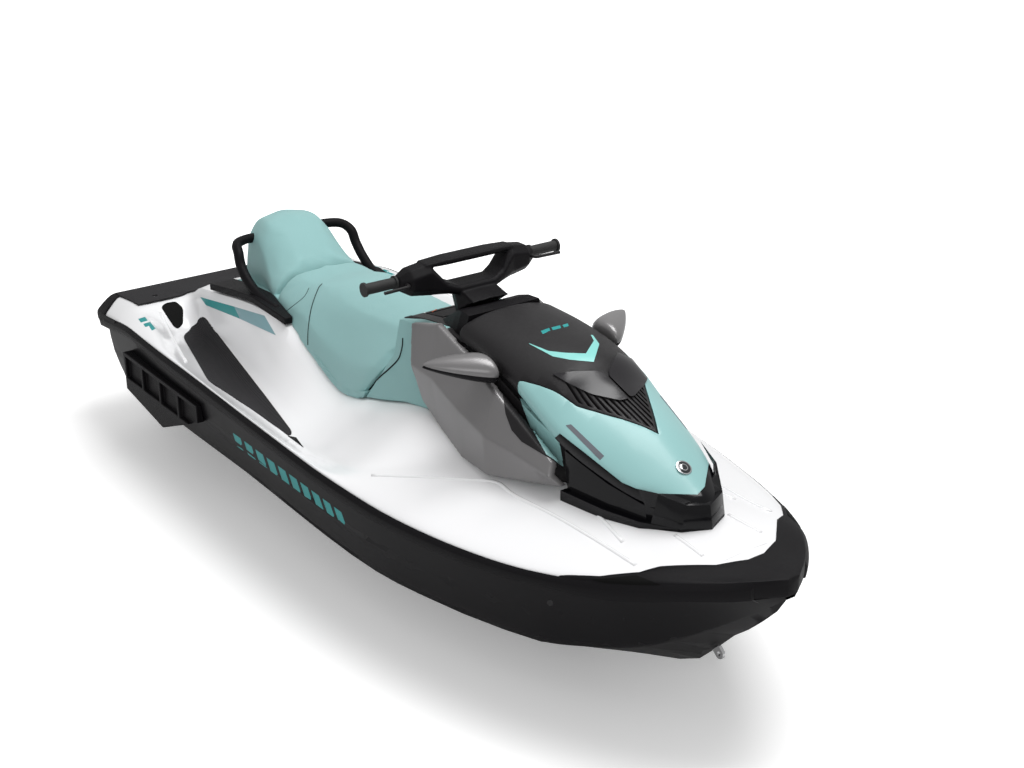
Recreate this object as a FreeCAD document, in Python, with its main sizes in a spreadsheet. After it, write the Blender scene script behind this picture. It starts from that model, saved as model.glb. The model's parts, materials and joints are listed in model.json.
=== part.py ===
import FreeCAD, Part
import math
import os
import Sketcher
from FreeCAD import Placement, Rotation, Vector

os.makedirs("parts", exist_ok=True)
doc = FreeCAD.newDocument("PersonalWatercraft")

# Driving dimensions, in millimetres and degrees, kept in a spreadsheet.
# X runs from the stern to the bow, Y to port and Z up. The origin is amidships, on the
# centreline, at the height of the water.
driving_sizes = [
    ("hull_length", 3320, "stern corner to bow tip"),
    ("hull_beam", 1250, "over the rub rails"),
    ("rail_height", 510, "keel to the upper edge of the rub rail amidships"),
    ("waterline_height", 290, "keel to the water when afloat"),
    ("rail_thickness", 14, "how far the rub rail stands out"),
    ("deck_skin", 12, "footwell floor"),
    ("fit_gap", 0.4, "between faces of pieces that seat on each other"),
    ("running_gap", 6, "between a moving piece and what it passes"),
    ("overrun", 20, "how far a cutting tool runs past a face"),
    ("bay_width", 330, "opening under the seat"),
    ("bay_floor", 130, "keel to the floor of the engine bay"),
    ("engine_length", 520, ""),
    ("engine_width", 300, ""),
    ("engine_height", 330, ""),
    ("engine_clearance", 18, "ahead of and behind the engine"),
    ("bin_width", 270, "storage bin under the front cover"),
    ("bin_floor", 330, "keel to the underside of the bin"),
    ("bin_wall", 5, ""),
    ("bin_clearance", 3, "round the bin in the hull"),
    ("mat_thickness", 8, "foot mats and platform mat"),
    ("mat_margin", 14, "mat edge in from the edge of the floor"),
    ("tunnel_width", 230, "pump tunnel in the bottom"),
    ("tunnel_height", 280, "keel to the roof of the tunnel"),
    ("pump_axis_height", 160, "keel to the centre of the jet pump"),
    ("pump_bore", 159, "inside the pump housing"),
    ("pump_wall", 9, ""),
    ("pump_length", 220, "between the flanges"),
    ("pump_cone_length", 45, "outlet cone of the pump"),
    ("pump_outlet_bore", 90, ""),
    ("pump_outlet_length", 50, "straight pipe behind the cone"),
    ("pump_flange_diameter", 214, ""),
    ("pump_flange_thickness", 12, ""),
    ("impeller_gap", 1, "blade tip to the pump bore"),
    ("impeller_length", 95, ""),
    ("hub_diameter", 64, "impeller and stator hub"),
    ("shaft_diameter", 30, "drive shaft"),
    ("notch_width", 440, "recess in the transom round the nozzle"),
    ("blade_count", 4, "impeller blades"),
    ("blade_thickness", 5, ""),
    ("blade_rake", 32, "degrees along one blade"),
    ("vane_count", 8, "stator vanes"),
    ("vane_thickness", 5, ""),
    ("nozzle_length", 110, ""),
    ("nozzle_mouth_bore", 132, "forward end of the steering nozzle"),
    ("nozzle_outlet_bore", 84, ""),
    ("nozzle_wall", 6, ""),
    ("pivot_pin_diameter", 14, "nozzle and gate pivots"),
    ("pivot_gap", 0.4, "round the pivot pins"),
    ("gate_wall", 6, "reverse gate"),
    ("gate_radius", 176, "reverse gate shell"),
    ("gate_width", 280, ""),
    ("ride_plate_thickness", 10, ""),
    ("ride_plate_length", 300, ""),
    ("grate_bar_count", 3, "bars of the intake grate"),
    ("grate_bar_width", 12, ""),
    ("grate_frame_width", 16, ""),
    ("grate_thickness", 10, ""),
    ("seat_height", 930, "keel to the top of the rear seat"),
    ("seat_base_thickness", 22, ""),
    ("console_height", 925, "keel to the top edge of the side panels"),
    ("panel_thickness", 26, "side panels"),
    ("side_crease_depth", 10, "crease along each side of the hull"),
    ("hood_height", 955, "keel to the top of the front cover"),
    ("hood_thickness", 34, "front cover, at its edge"),
    ("hood_split_gap", 3, "between the panels of the front cover"),
    ("mirror_depth", 41, "mirror housings, front to back and down"),
    ("grille_slot_count", 8, "slots on each side of the grille"),
    ("grille_slat_width", 8, "between two slots"),
    ("grille_depth", 16, ""),
    ("grille_rim", 12, "ahead of the slots"),
    ("bar_height", 1027, "keel to the centre of the grips"),
    ("bar_span", 760, "over the ends of the grips"),
    ("bar_diameter", 22, ""),
    ("grip_diameter", 36, ""),
    ("grip_length", 118, ""),
    ("grip_flange_diameter", 46, ""),
    ("grip_flange_thickness", 7, ""),
    ("column_rake", 32, "degrees the steering column leans back"),
    ("column_diameter", 34, ""),
    ("lever_diameter", 11, "throttle and brake levers"),
    ("lever_bend", 14, ""),
    ("handle_diameter", 24, "passenger grab handles"),
    ("handle_bend", 48, ""),
    ("tray_thickness", 26, "side trays under the grab handles"),
    ("lid_width", 190, "glove box lid"),
    ("lid_thickness", 12, ""),
    ("glove_box_depth", 110, ""),
    ("clamp_drop", 60, "grips to the clamp on the column"),
    ("column_length", 150, "below the clamp"),
    ("bar_bend", 40, ""),
    ("cover_depth", 60, "steering cover housings, front to back"),
    ("cover_thickness", 52, "steering cover housings, above and below the bar"),
    ("cover_drop", 136, "grips to the foot of the steering cover, along the column"),
    ("cover_pad_half_width", 170, "pad on top of the steering cover"),
    ("eye_bore", 14, "bow and stern eyes"),
    ("eye_wire", 10, ""),
    ("eye_reach", 34, "how far the stern eyes stand out"),
    ("anchor_bore", 12, "accessory anchors in the rear deck"),
    ("anchor_depth", 30, ""),
    ("sponson_length", 640, ""),
    ("sponson_thickness", 46, ""),
    ("sponson_pocket_count", 4, ""),
    ("sponson_rib", 16, "between the pockets of a sponson"),
]
sheet = doc.addObject("Spreadsheet::Sheet", "Sizes")
for row, (alias, amount, note) in enumerate(driving_sizes, start=1):
    sheet.set("A%d" % row, alias)
    sheet.set("B%d" % row, str(amount))
    sheet.setAlias("B%d" % row, alias)
    sheet.set("C%d" % row, note)
doc.recompute()


def size(alias):
    """A driving dimension, read from the spreadsheet."""
    return float(sheet.get(alias))


length = size("hull_length")
half_beam = size("hull_beam") / 2
rail_height = size("rail_height")
waterline = size("waterline_height")
gap = size("fit_gap")
running_gap = size("running_gap")
overrun = size("overrun")

# Lines of the boat. Each row starts with a share of the length, from the stern. Breadths are
# shares of the half beam, and heights are shares of the rail height above the keel.
beam_shares = [
    (0, 0.92), (0.09, 0.96), (0.241, 0.992), (0.422, 1), (0.542, 0.992), (0.633, 0.96),
    (0.723, 0.888), (0.813, 0.764), (0.873, 0.632), (0.934, 0.436), (0.97, 0.264), (0.991, 0.125),
    (1, 0.04),
]
rail_top_shares = [
    (0, 0.90), (0.036, 0.93), (0.127, 1.006), (0.265, 1.01), (0.434, 0.99), (0.572, 0.957),
    (0.693, 0.935), (0.783, 0.947), (0.861, 0.988), (0.901, 1.03), (0.94, 1.08), (0.979, 1.12),
    (1, 1.14),
]
seam_shares = [
    (0, 0.79), (0.06, 0.86), (0.127, 0.918), (0.434, 0.902), (0.572, 0.869), (0.693, 0.847),
    (0.783, 0.863), (0.843, 0.892), (0.889, 0.908), (0.925, 0.951), (0.947, 0.988),
    (0.979, 1.014), (1, 1.04),
]
keel_shares = [
    (0, 0), (0.663, 0), (0.753, 0.035), (0.828, 0.118), (0.875, 0.214), (0.905, 0.329),
    (0.932, 0.541), (0.959, 0.7), (0.984, 0.88), (1, 1),
]
chine_breadth_shares = [
    (0, 0.816), (0.09, 0.864), (0.241, 0.896), (0.422, 0.904), (0.542, 0.896), (0.633, 0.864),
    (0.723, 0.768), (0.783, 0.672), (0.828, 0.584), (0.873, 0.456), (0.904, 0.352),
    (0.934, 0.224), (0.958, 0.128), (0.984, 0.056), (1, 0.02),
]
chine_height_shares = [
    (0, 0.392), (0.271, 0.441), (0.392, 0.461), (0.542, 0.435), (0.633, 0.416), (0.753, 0.416),
    (0.813, 0.424), (0.858, 0.48), (0.889, 0.529), (0.919, 0.618), (0.94, 0.706), (0.964, 0.824),
    (0.984, 0.931), (1, 1.02),
]
gunwale_shares = [
    (0, 0.8, 1.005), (0.075, 0.8, 1.049), (0.136, 0.83, 1.059), (0.2, 0.88, 1.05),
    (0.271, 0.92, 1.035), (0.422, 0.935, 1.01), (0.542, 0.935, 0.985), (0.633, 0.9, 0.975),
    (0.723, 0.83, 0.97), (0.813, 0.7, 0.99), (0.873, 0.565, 1.035), (0.934, 0.35, 1.1),
    (0.97, 0.2, 1.11), (0.985, 0.125, 1.11),
]
floor_outer_shares = [
    (0, 0.704, 1.005), (0.075, 0.688, 1.049), (0.108, 0.62, 0.843), (0.151, 0.65, 0.784),
    (0.271, 0.745, 0.775), (0.422, 0.8, 0.784), (0.482, 0.84, 0.83), (0.52, 0.87, 0.89),
    (0.57, 0.89, 0.945), (0.622, 0.795, 1.02), (0.66, 0.66, 1.06), (0.717, 0.47, 1.098),
    (0.747, 0.46, 1.1), (0.797, 0.43, 1.09), (0.87, 0.4, 1.075), (0.934, 0.27, 1.115),
    (0.97, 0.14, 1.12), (0.985, 0.085, 1.12),
]
floor_inner_shares = [
    (0, 0.544, 1.005), (0.075, 0.48, 1.049), (0.108, 0.44, 0.843), (0.151, 0.45, 0.784),
    (0.271, 0.544, 0.775), (0.422, 0.688, 0.784), (0.482, 0.745, 0.82), (0.52, 0.78, 0.875),
    (0.58, 0.76, 0.98), (0.615, 0.64, 1.035), (0.652, 0.47, 1.08), (0.717, 0.44, 1.11),
    (0.747, 0.3, 1.145), (0.77, 0.262, 1.155), (0.807, 0.283, 1.135), (0.868, 0.33, 1.105),
    (0.934, 0.18, 1.13), (0.97, 0.09, 1.125), (0.985, 0.055, 1.125),
]
riser_shares = [
    (0, 0.448, 1.005), (0.075, 0.432, 1.065), (0.102, 0.44, 1.176), (0.142, 0.448, 1.22),
    (0.271, 0.448, 1.324), (0.316, 0.429, 1.284), (0.361, 0.416, 1.157), (0.428, 0.419, 1.01),
    (0.497, 0.419, 1.108), (0.587, 0.4, 1.24), (0.663, 0.39, 1.176), (0.717, 0.36, 1.147),
    (0.783, 0.24, 1.165), (0.864, 0.17, 1.16), (0.907, 0.12, 1.15), (0.97, 0.05, 1.13),
    (0.985, 0.03, 1.13),
]
station_shares = [
    0, 0.04, 0.075, 0.095, 0.115, 0.15, 0.2, 0.25, 0.32, 0.38, 0.425, 0.45, 0.48, 0.51, 0.545,
    0.59, 0.63, 0.66, 0.69, 0.74, 0.785, 0.82, 0.85, 0.875, 0.9, 0.92, 0.94, 0.955, 0.97, 0.985,
]
transom_share = 0.04
deck_end_share = 0.97
hull_end_share = 0.985


def smooth_value(table, at, column=1):
    """Read a table at one place, on a smooth curve that does not overshoot its points."""
    places = [row[0] for row in table]
    values = [row[column] for row in table]
    if at <= places[0]:
        return values[0]
    if at >= places[-1]:
        return values[-1]
    steps = [b - a for a, b in zip(places, places[1:])]
    rises = [(b - a) / step for a, b, step in zip(values, values[1:], steps)]
    slopes = [rises[0]]
    for before, after in zip(rises, rises[1:]):
        slopes.append(2 * before * after / (before + after) if before * after > 0 else 0)
    slopes.append(rises[-1])
    index = max(i for i, place in enumerate(places) if place <= at)
    index = min(index, len(steps) - 1)
    step = steps[index]
    part = (at - places[index]) / step
    left = values[index] * (1 + 2 * part) * (1 - part) ** 2
    right = values[index + 1] * part ** 2 * (3 - 2 * part)
    bend = part * (1 - part) * step
    return left + right + bend * ((1 - part) * slopes[index] - part * slopes[index + 1])


def reading(table, at, column=1):
    """Read a table on the straight runs between the stations, as the lofts do."""
    below = max([share for share in station_shares if share <= at], default=station_shares[0])
    above = min([share for share in station_shares if share >= at], default=station_shares[-1])
    low = smooth_value(table, below, column)
    if above == below:
        return low
    high = smooth_value(table, above, column)
    return low + (high - low) * (at - below) / (above - below)


def along(share):
    return (share - 0.5) * length


def share_at(x):
    return x / length + 0.5


def above_keel(height):
    return height - waterline


def breadth(table, at):
    return reading(table, at) * half_beam


def level(table, at, column=1):
    return above_keel(reading(table, at, column) * rail_height)


def line_point(table, at, side=1):
    """A point of one of the boat's lines, to port or, with side -1, to starboard."""
    return Vector(along(at), side * reading(table, at, 1) * half_beam, level(table, at, 2))


def mirrored(points):
    """Port points, then the same to starboard in reverse, leaving out doubles on the centreline."""
    other = [Vector(p.x, -p.y, p.z) for p in reversed(points) if abs(p.y) > 0]
    return points + other


def loft(sections, ruled=True):
    wires = [Part.makePolygon(points + [points[0]]) for points in sections]
    return Part.makeLoft(wires, True, ruled)


def both_sides(shape):
    """The shape and its mirror image across the centreline."""
    other = shape.mirror(Vector(0, 0, 0), Vector(0, 1, 0))
    return Part.makeCompound([shape, other])


def feature(label, shape):
    """A sub-part whose shape comes from Part's own functions."""
    item = doc.addObject("Part::Feature", label)
    item.Label = label
    item.Shape = shape
    sub_parts.append(item)
    return item


places = doc.addObject("Spreadsheet::Sheet", "Places")
place_names = []


def place(alias, amount):
    """Keep a worked-out place in the second sheet, for sketches and pads to be bound to."""
    place_names.append(alias)
    row = len(place_names)
    places.set("A%d" % row, alias)
    places.set("B%d" % row, "%.6f" % amount)
    places.setAlias("B%d" % row, alias)
    places.recompute()


def place_expression(term):
    """A place by its alias, or its opposite where the alias has a minus sign before it."""
    if term.startswith("-"):
        return "-Places.%s" % term[1:]
    return "Places.%s" % term


def place_value(term):
    amount = float(places.get(term.lstrip("-")))
    return -amount if term.startswith("-") else amount


def bound_outline(body, name, role, corners, level_alias=None):
    """A closed sketch on one plane of a body, each corner bound to a pair of places."""
    sketch = body.newObject("Sketcher::SketchObject", name)
    plane = next(item for item in body.Origin.OriginFeatures if item.Role == role)
    sketch.AttachmentSupport = (plane, "")
    sketch.MapMode = "FlatFace"
    if level_alias:
        sketch.setExpression("AttachmentOffset.Base.z", place_expression(level_alias))
    points = [Vector(place_value(corner[0]), place_value(corner[1]), 0) for corner in corners]
    ahead = points[1:] + points[:1]
    for start, end in zip(points, ahead):
        sketch.addGeometry(Part.LineSegment(start, end), False)
    for index in range(len(points)):
        after = (index + 1) % len(points)
        sketch.addConstraint(Sketcher.Constraint("Coincident", index, 2, after, 1))
    for index, (corner, point) in enumerate(zip(corners, points)):
        for kind, term, amount in zip(("DistanceX", "DistanceY"), corner, (point.x, point.y)):
            number = sketch.addConstraint(Sketcher.Constraint(kind, -1, 1, index, 1, amount))
            sketch.setExpression("Constraints[%d]" % number, place_expression(term))
    return sketch


def rectangle(rear, front, low, high):
    return [(rear, low), (front, low), (front, high), (rear, high)]


def new_body(label):
    body = doc.addObject("PartDesign::Body", label)
    body.Label = label
    return body


def prism(points, low_y, high_y):
    """A side outline of (x, z) points, drawn out across the boat."""
    outline = [Vector(x, low_y, z) for x, z in points]
    face = Part.Face(Part.makePolygon(outline + [outline[0]]))
    return face.extrude(Vector(0, high_y - low_y, 0))


def box_between(low, high):
    return Part.makeBox(high.x - low.x, high.y - low.y, high.z - low.z, low)


def tube(points, radius, bend):
    """A round bar along straight runs joined by arcs."""
    edges = []
    start = points[0]
    for before, corner, after in zip(points, points[1:], points[2:]):
        back = (before - corner).normalize()
        ahead = (after - corner).normalize()
        half_angle = back.getAngle(ahead) / 2
        reach = bend / math.tan(half_angle)
        first = corner + back * reach
        last = corner + ahead * reach
        middle_way = (back + ahead).normalize()
        centre = corner + middle_way * (bend / math.sin(half_angle))
        middle = centre - middle_way * bend
        edges.append(Part.LineSegment(start, first).toShape())
        edges.append(Part.Arc(first, middle, last).toShape())
        start = last
    edges.append(Part.LineSegment(start, points[-1]).toShape())
    path = Part.Wire(edges)
    direction = points[1] - points[0]
    profile = Part.Wire(Part.makeCircle(radius, points[0], direction))
    return path.makePipeShell([profile], True, False)


sub_parts = []

# Hull: a hard-chined V bottom with a crease along each side
side_crease_share = 0.55
side_crease_depth = size("side_crease_depth")
rail_thickness = size("rail_thickness")
bow_taper_share = 0.06


def deck_underside(at):
    """Where the underside of the deck turns level, above the hull's sides."""
    outer = breadth(beam_shares, at) - rail_thickness
    floor_outer = line_point(floor_outer_shares, at)
    drop = size("deck_skin") * min(1, (1 - at) / bow_taper_share)
    z = min(level(seam_shares, at), floor_outer.z) - drop
    return Vector(along(at), (floor_outer.y + outer) / 2, z)


def hull_section(at):
    x = along(at)
    keel = Vector(x, 0, level(keel_shares, at))
    chine = Vector(x, breadth(chine_breadth_shares, at), level(chine_height_shares, at))
    seam = Vector(x, breadth(beam_shares, at) - rail_thickness, level(seam_shares, at))
    crease = chine + (seam - chine) * side_crease_share
    crease.y += side_crease_depth * min(1, seam.y / half_beam)
    return [keel] + mirrored([chine, crease, seam, deck_underside(at)])


hull_stations = [share for share in station_shares if transom_share <= share <= hull_end_share]
hull_solid = loft([hull_section(at) for at in hull_stations])


# Deck: gunwales, footwells, seat riser and foredeck
def deck_section(at):
    x = along(at)
    outer = breadth(beam_shares, at) - rail_thickness
    seam = Vector(x, outer, level(seam_shares, at))
    rail_top = Vector(x, outer, level(rail_top_shares, at))
    tops = [line_point(gunwale_shares, at), line_point(floor_outer_shares, at)]
    tops += [line_point(floor_inner_shares, at), line_point(riser_shares, at)]
    return mirrored([deck_underside(at), seam, rail_top] + tops)


deck_stations = [share for share in station_shares if share <= deck_end_share]
deck_solid = loft([deck_section(at) for at in deck_stations])

# Openings in hull and deck: pump tunnel, intake, transom recess, engine bay and storage
pump_front_share = 0.1672
recess_front_share = 0.337
intake_rear_share = 0.187
intake_throat_share = 0.217
intake_front_share = 0.30
keel_line = above_keel(0)
shaft_axis_z = above_keel(size("pump_axis_height"))
pump_front = along(pump_front_share)
pump_length = size("pump_length")
pump_rear = pump_front - pump_length
pump_bore_radius = size("pump_bore") / 2
tunnel_half = size("tunnel_width") / 2
tunnel_roof = above_keel(size("tunnel_height"))
notch_half = size("notch_width") / 2
flat_land_share = 0.0783
bottom_at = share_at(pump_rear)
bottom_slope = (level(chine_height_shares, bottom_at) - keel_line) / breadth(
    chine_breadth_shares, bottom_at
)
shoe_level = keel_line + bottom_slope * tunnel_half * (1 + flat_land_share)
recess = prism(
    [
        (along(0), keel_line - overrun), (along(recess_front_share), keel_line - overrun),
        (along(recess_front_share), keel_line), (along(intake_front_share) + overrun, shoe_level),
        (along(0), shoe_level),
    ],
    -notch_half,
    notch_half,
)
tunnel = prism(
    [
        (along(0), keel_line - overrun), (pump_front, keel_line - overrun),
        (pump_front, tunnel_roof), (along(0), tunnel_roof),
    ],
    -tunnel_half,
    tunnel_half,
)
notch = prism(
    [
        (along(0), keel_line - overrun), (pump_rear, keel_line - overrun),
        (pump_rear, level(seam_shares, bottom_at)), (along(0), level(seam_shares, bottom_at)),
    ],
    -notch_half,
    notch_half,
)
intake_roof = shaft_axis_z + pump_bore_radius
intake = prism(
    [
        (along(intake_rear_share), keel_line - overrun), (along(intake_front_share), keel_line - overrun),
        (along(intake_front_share), shoe_level), (along(intake_throat_share), intake_roof),
        (along(intake_rear_share), intake_roof),
    ],
    -pump_bore_radius,
    pump_bore_radius,
)
intake_bore = Part.makeCylinder(
    pump_bore_radius, along(intake_rear_share) + overrun - pump_front + overrun,
    Vector(pump_front - overrun, 0, shaft_axis_z), Vector(1, 0, 0),
)
bay_rear_share = 0.23
bay_half = size("bay_width") / 2
deck_top_limit = above_keel(size("hood_height"))
bay_low = Vector(along(bay_rear_share), -bay_half, above_keel(size("bay_floor")))
bay_deep_rear = along(intake_front_share) + overrun
engine_rear = bay_deep_rear + size("engine_clearance")
engine_front = engine_rear + size("engine_length")
bay_high = Vector(engine_front + size("engine_clearance"), bay_half, deck_top_limit)
engine_bay = box_between(Vector(bay_deep_rear, bay_low.y, bay_low.z), bay_high)
bay_rear_shelf = box_between(Vector(bay_low.x, bay_low.y, tunnel_roof + overrun), bay_high)
bin_half = size("bin_width") / 2
bin_rear_share = 0.625
bin_front_share = 0.80
bin_clearance = size("bin_clearance")
bin_low = Vector(along(bin_rear_share), -bin_half, above_keel(size("bin_floor")))
bin_high = Vector(along(bin_front_share), bin_half, deck_top_limit)
bin_margin = Vector(bin_clearance, bin_clearance, bin_clearance)
bin_pocket = box_between(bin_low - Vector(bin_clearance, bin_clearance, 0), bin_high + bin_margin)
shaft_radius = size("shaft_diameter") / 2
shaft_hole = Part.makeCylinder(
    shaft_radius + running_gap, engine_rear - pump_front, Vector(pump_front, 0, shaft_axis_z),
    Vector(1, 0, 0),
)

deck_cut = deck_solid.cut(engine_bay).cut(bay_rear_shelf).cut(bin_pocket)
hull_cut = hull_solid
for opening in (recess, tunnel, notch, intake, intake_bore, engine_bay, bay_rear_shelf, bin_pocket,
                shaft_hole):
    hull_cut = hull_cut.cut(opening)
hull = feature("hull", hull_cut)


# Anchor sockets in the rear deck, for racks and tow posts
anchor_share = 0.055
anchor_breadth_share = 0.62
anchor_top = level(gunwale_shares, anchor_share, 2)
anchor_tool = Part.makeCylinder(
    size("anchor_bore") / 2, size("anchor_depth") + overrun,
    Vector(along(anchor_share), anchor_breadth_share * half_beam, anchor_top - size("anchor_depth")),
)
deck_cut = deck_cut.cut(both_sides(anchor_tool))

# Rub rails, between the stern corners and the bow cap
def rail_section(at):
    x = along(at)
    outer = breadth(beam_shares, at)
    inner = outer - rail_thickness
    low = level(seam_shares, at)
    high = level(rail_top_shares, at)
    rise = high - low
    return [
        Vector(x, inner, low),
        Vector(x, outer - rail_thickness / 3, low),
        Vector(x, outer, low + rise / 3),
        Vector(x, outer, low + rise * 2 / 3),
        Vector(x, inner, high),
    ]


stern_wrap_share = 0.075
bow_wrap_share = 0.85
rail_stations = [share for share in station_shares if stern_wrap_share <= share <= bow_wrap_share]
deck = feature("deck", deck_cut)
rail = loft([rail_section(at) for at in rail_stations])
feature("rub_rails", both_sides(rail))


# Bow cap: one moulding round the bow, wide on top
def wrap_section(outline, inward, width, low, crease, ridge, top, crease_out):
    """A section of a corner moulding: outline point, inward direction, widths and levels."""
    def at(offset, z):
        return Vector(outline.x + inward.x * offset, outline.y + inward.y * offset, z)
    return [
        at(width, low),
        at(rail_thickness / 3, low),
        at(-crease_out, crease),
        at(rail_thickness / 2, ridge),
        at(width, top),
    ]


cap_width_shares = [
    (0.85, 0.03), (0.875, 0.10), (0.9, 0.17), (0.92, 0.19), (0.94, 0.21), (0.985, 0.2),
]
cap_top_shares = [
    (0.85, 1.0), (0.875, 1.035), (0.9, 1.075), (0.92, 1.105), (0.94, 1.14), (1, 1.185),
]
cap_stations = [share for share in station_shares if bow_wrap_share <= share <= 0.955]


def cap_section(at, outline, inward, width):
    low = level(seam_shares, at)
    top = level(cap_top_shares, at)
    ridge = level(rail_top_shares, at)
    crease = low + (ridge - low) / 2
    return wrap_section(outline, inward, width, low, crease, ridge, top, 0)


cap_sections = []
for at in cap_stations:
    outline = Vector(along(at), breadth(beam_shares, at), 0)
    width = smooth_value(cap_width_shares, at) * half_beam
    cap_sections.append(cap_section(at, outline, Vector(0, -1, 0), width))
cap_corner_shares = [(0.978, 0.235, -0.55, -0.83), (0.994, 0.12, -0.86, -0.5)]
for at, across, inward_x, inward_y in cap_corner_shares:
    outline = Vector(along(at), across * half_beam, 0)
    inward = Vector(inward_x, inward_y, 0).normalize()
    cap_sections.append(cap_section(at, outline, inward, smooth_value(cap_width_shares, at) * half_beam))
nose = [cap_section(1, Vector(along(1), 0, 0), Vector(-1, 0, 0), cap_width_shares[-1][1] * half_beam)]
other_side = [[Vector(p.x, -p.y, p.z) for p in section] for section in reversed(cap_sections)]
bow_cap_solid = loft(cap_sections + nose + other_side)
bow_cap_solid = bow_cap_solid.cut(deck_solid).cut(hull_solid)
feature("bow_cap", bow_cap_solid)

# Stern corner caps
stern_station_shares = [0.075, 0.04, 0.015]
stern_sections = []
for at in stern_station_shares:
    outline = Vector(along(at), breadth(beam_shares, at), 0)
    low = level(seam_shares, at)
    high = level(rail_top_shares, at)
    stern_sections.append(
        wrap_section(outline, Vector(0, -1, 0), rail_thickness * 3, low, (low + high) / 2, high, high, 0)
    )
stern_corner_solid = loft(stern_sections).cut(deck_solid).cut(hull_solid)
feature("stern_corner_caps", both_sides(stern_corner_solid))

# Foot mats
mat_thickness = size("mat_thickness")
mat_margin = size("mat_margin")
mat_rear_share = 0.115
mat_front_share = 0.45
mat_sections = []
for at in [share for share in station_shares if mat_rear_share <= share <= mat_front_share]:
    outer = line_point(floor_outer_shares, at)
    inner = line_point(floor_inner_shares, at)
    margin = min(mat_margin, (outer.y - inner.y) / 4)
    outer.y -= margin
    inner.y += margin
    lift = Vector(0, 0, mat_thickness)
    seat = Vector(0, 0, gap)
    mat_sections.append([inner + seat, outer + seat, outer + lift, inner + lift])
feature("foot_mats", both_sides(loft(mat_sections)))

# Platform mat on the swim deck
platform_mat_shares = [0.004, transom_share, stern_wrap_share]
deck_top_tables = [gunwale_shares, floor_outer_shares, floor_inner_shares, riser_shares]
platform_sections = []
for at in platform_mat_shares:
    surface = [line_point(table, at) for table in deck_top_tables]
    surface[0].y -= mat_margin
    under = mirrored([point + Vector(0, 0, gap) for point in surface])
    over = mirrored([point + Vector(0, 0, mat_thickness) for point in surface])
    platform_sections.append(under + list(reversed(over)))
mat_hole = Part.makeCylinder(
    size("anchor_bore"), size("anchor_depth") * 2,
    Vector(along(anchor_share), anchor_breadth_share * half_beam, anchor_top - size("anchor_depth")),
)
platform_mat = feature("platform_mat", loft(platform_sections).cut(both_sides(mat_hole)))

# Sponsons: finned blades with open cells on the after part of each side
sponson_rear_share = 0.117
sponson_front_share = 0.31
sponson_low_share = 0.42
sponson_high_share = 0.82
sponson_thickness = size("sponson_thickness")
sponson_x0 = along(sponson_rear_share)
sponson_x1 = sponson_x0 + size("sponson_length")
sponson_z0 = above_keel(sponson_low_share * rail_height)
sponson_z1 = above_keel(sponson_high_share * rail_height)
sponson_outer = half_beam
sponson_outline = [
    (sponson_x0, sponson_z1), (sponson_x1, sponson_z1),
    (sponson_x1, sponson_z1 - (sponson_z1 - sponson_z0) / 3),
    (sponson_x0 + (sponson_x1 - sponson_x0) / 2, sponson_z0),
    (sponson_x0, sponson_z0 + (sponson_z1 - sponson_z0) / 4),
]
sponson = prism(sponson_outline, sponson_outer - sponson_thickness * 2, sponson_outer)
pocket_count = int(size("sponson_pocket_count"))
pocket_depth_share = 0.35
rib = size("sponson_rib")
pocket_pitch = (sponson_x1 - sponson_x0 - rib) / pocket_count
pocket_high = sponson_z1 - rib
pocket_low = sponson_z0 + (sponson_z1 - sponson_z0) / 2
for index in range(pocket_count):
    start = sponson_x0 + rib + index * pocket_pitch
    low = Vector(start, sponson_outer - sponson_thickness * pocket_depth_share, pocket_low)
    high = Vector(start + pocket_pitch - rib, sponson_outer + overrun, pocket_high)
    sponson = sponson.cut(box_between(low, high))
sponson = sponson.cut(hull_solid).cut(deck_solid)
feature("sponsons", both_sides(sponson))

# Seat base and cushions, on the riser
seat_rear_share = 0.148
seat_split_share = 0.262
seat_front_share = 0.525
seat_height = size("seat_height")
seat_base_thickness = size("seat_base_thickness")
seat_side_margin = mat_margin / 2
seat_crown_shares = [
    (0.148, 0.22, 0.635), (0.16, 0.25, 0.872), (0.178, 0.26, 0.989), (0.195, 0.26, 1.0),
    (0.226, 0.26, 0.745), (0.262, 0.27, 0.398), (0.3, 0.28, 0.398), (0.345, 0.29, 0.526),
    (0.40, 0.28, 0.58), (0.45, 0.26, 0.606), (0.5, 0.23, 0.617), (0.542, 0.20, 0.635),
]
riser_peak = level(riser_shares, 0.271, 2)
seat_rise = above_keel(seat_height) - riser_peak
seat_low_shares = [
    (0.148, 0.27), (0.19, 0.285), (0.226, 0.295), (0.262, 0.32), (0.316, 0.365), (0.38, 0.405),
    (0.542, 0.41),
]
seat_shoulder_share = 0.8


def seat_half_width(at):
    return min(breadth(riser_shares, at) - seat_side_margin, breadth(seat_low_shares, at))


def seat_section(at, low_lift, top_lift=None):
    """A section of the seat: from the riser up, to a flat base or to the crown."""
    riser = line_point(riser_shares, at)
    low = Vector(riser.x, seat_half_width(at), riser.z + low_lift)
    if top_lift is not None:
        return mirrored([low, Vector(low.x, low.y, riser.z + top_lift)])
    crown = riser_peak + smooth_value(seat_crown_shares, at, 2) * seat_rise
    half_top = smooth_value(seat_crown_shares, at) * half_beam
    shoulder_z = low.z + (crown - low.z) * seat_shoulder_share
    middle_z = low.z + (crown - low.z) * seat_shoulder_share / 2
    middle = Vector(low.x, (low.y + half_top) / 2 + seat_side_margin, middle_z)
    shoulder = Vector(low.x, half_top, shoulder_z)
    edge = Vector(low.x, half_top * seat_shoulder_share, crown - (crown - shoulder_z) / 3)
    half = [low, middle, shoulder, edge]
    return half + [Vector(low.x, 0, crown)] + [Vector(p.x, -p.y, p.z) for p in reversed(half)]


def between(first, last):
    inside = [share for share in station_shares if first < share < last]
    return [first] + inside + [last]


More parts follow.
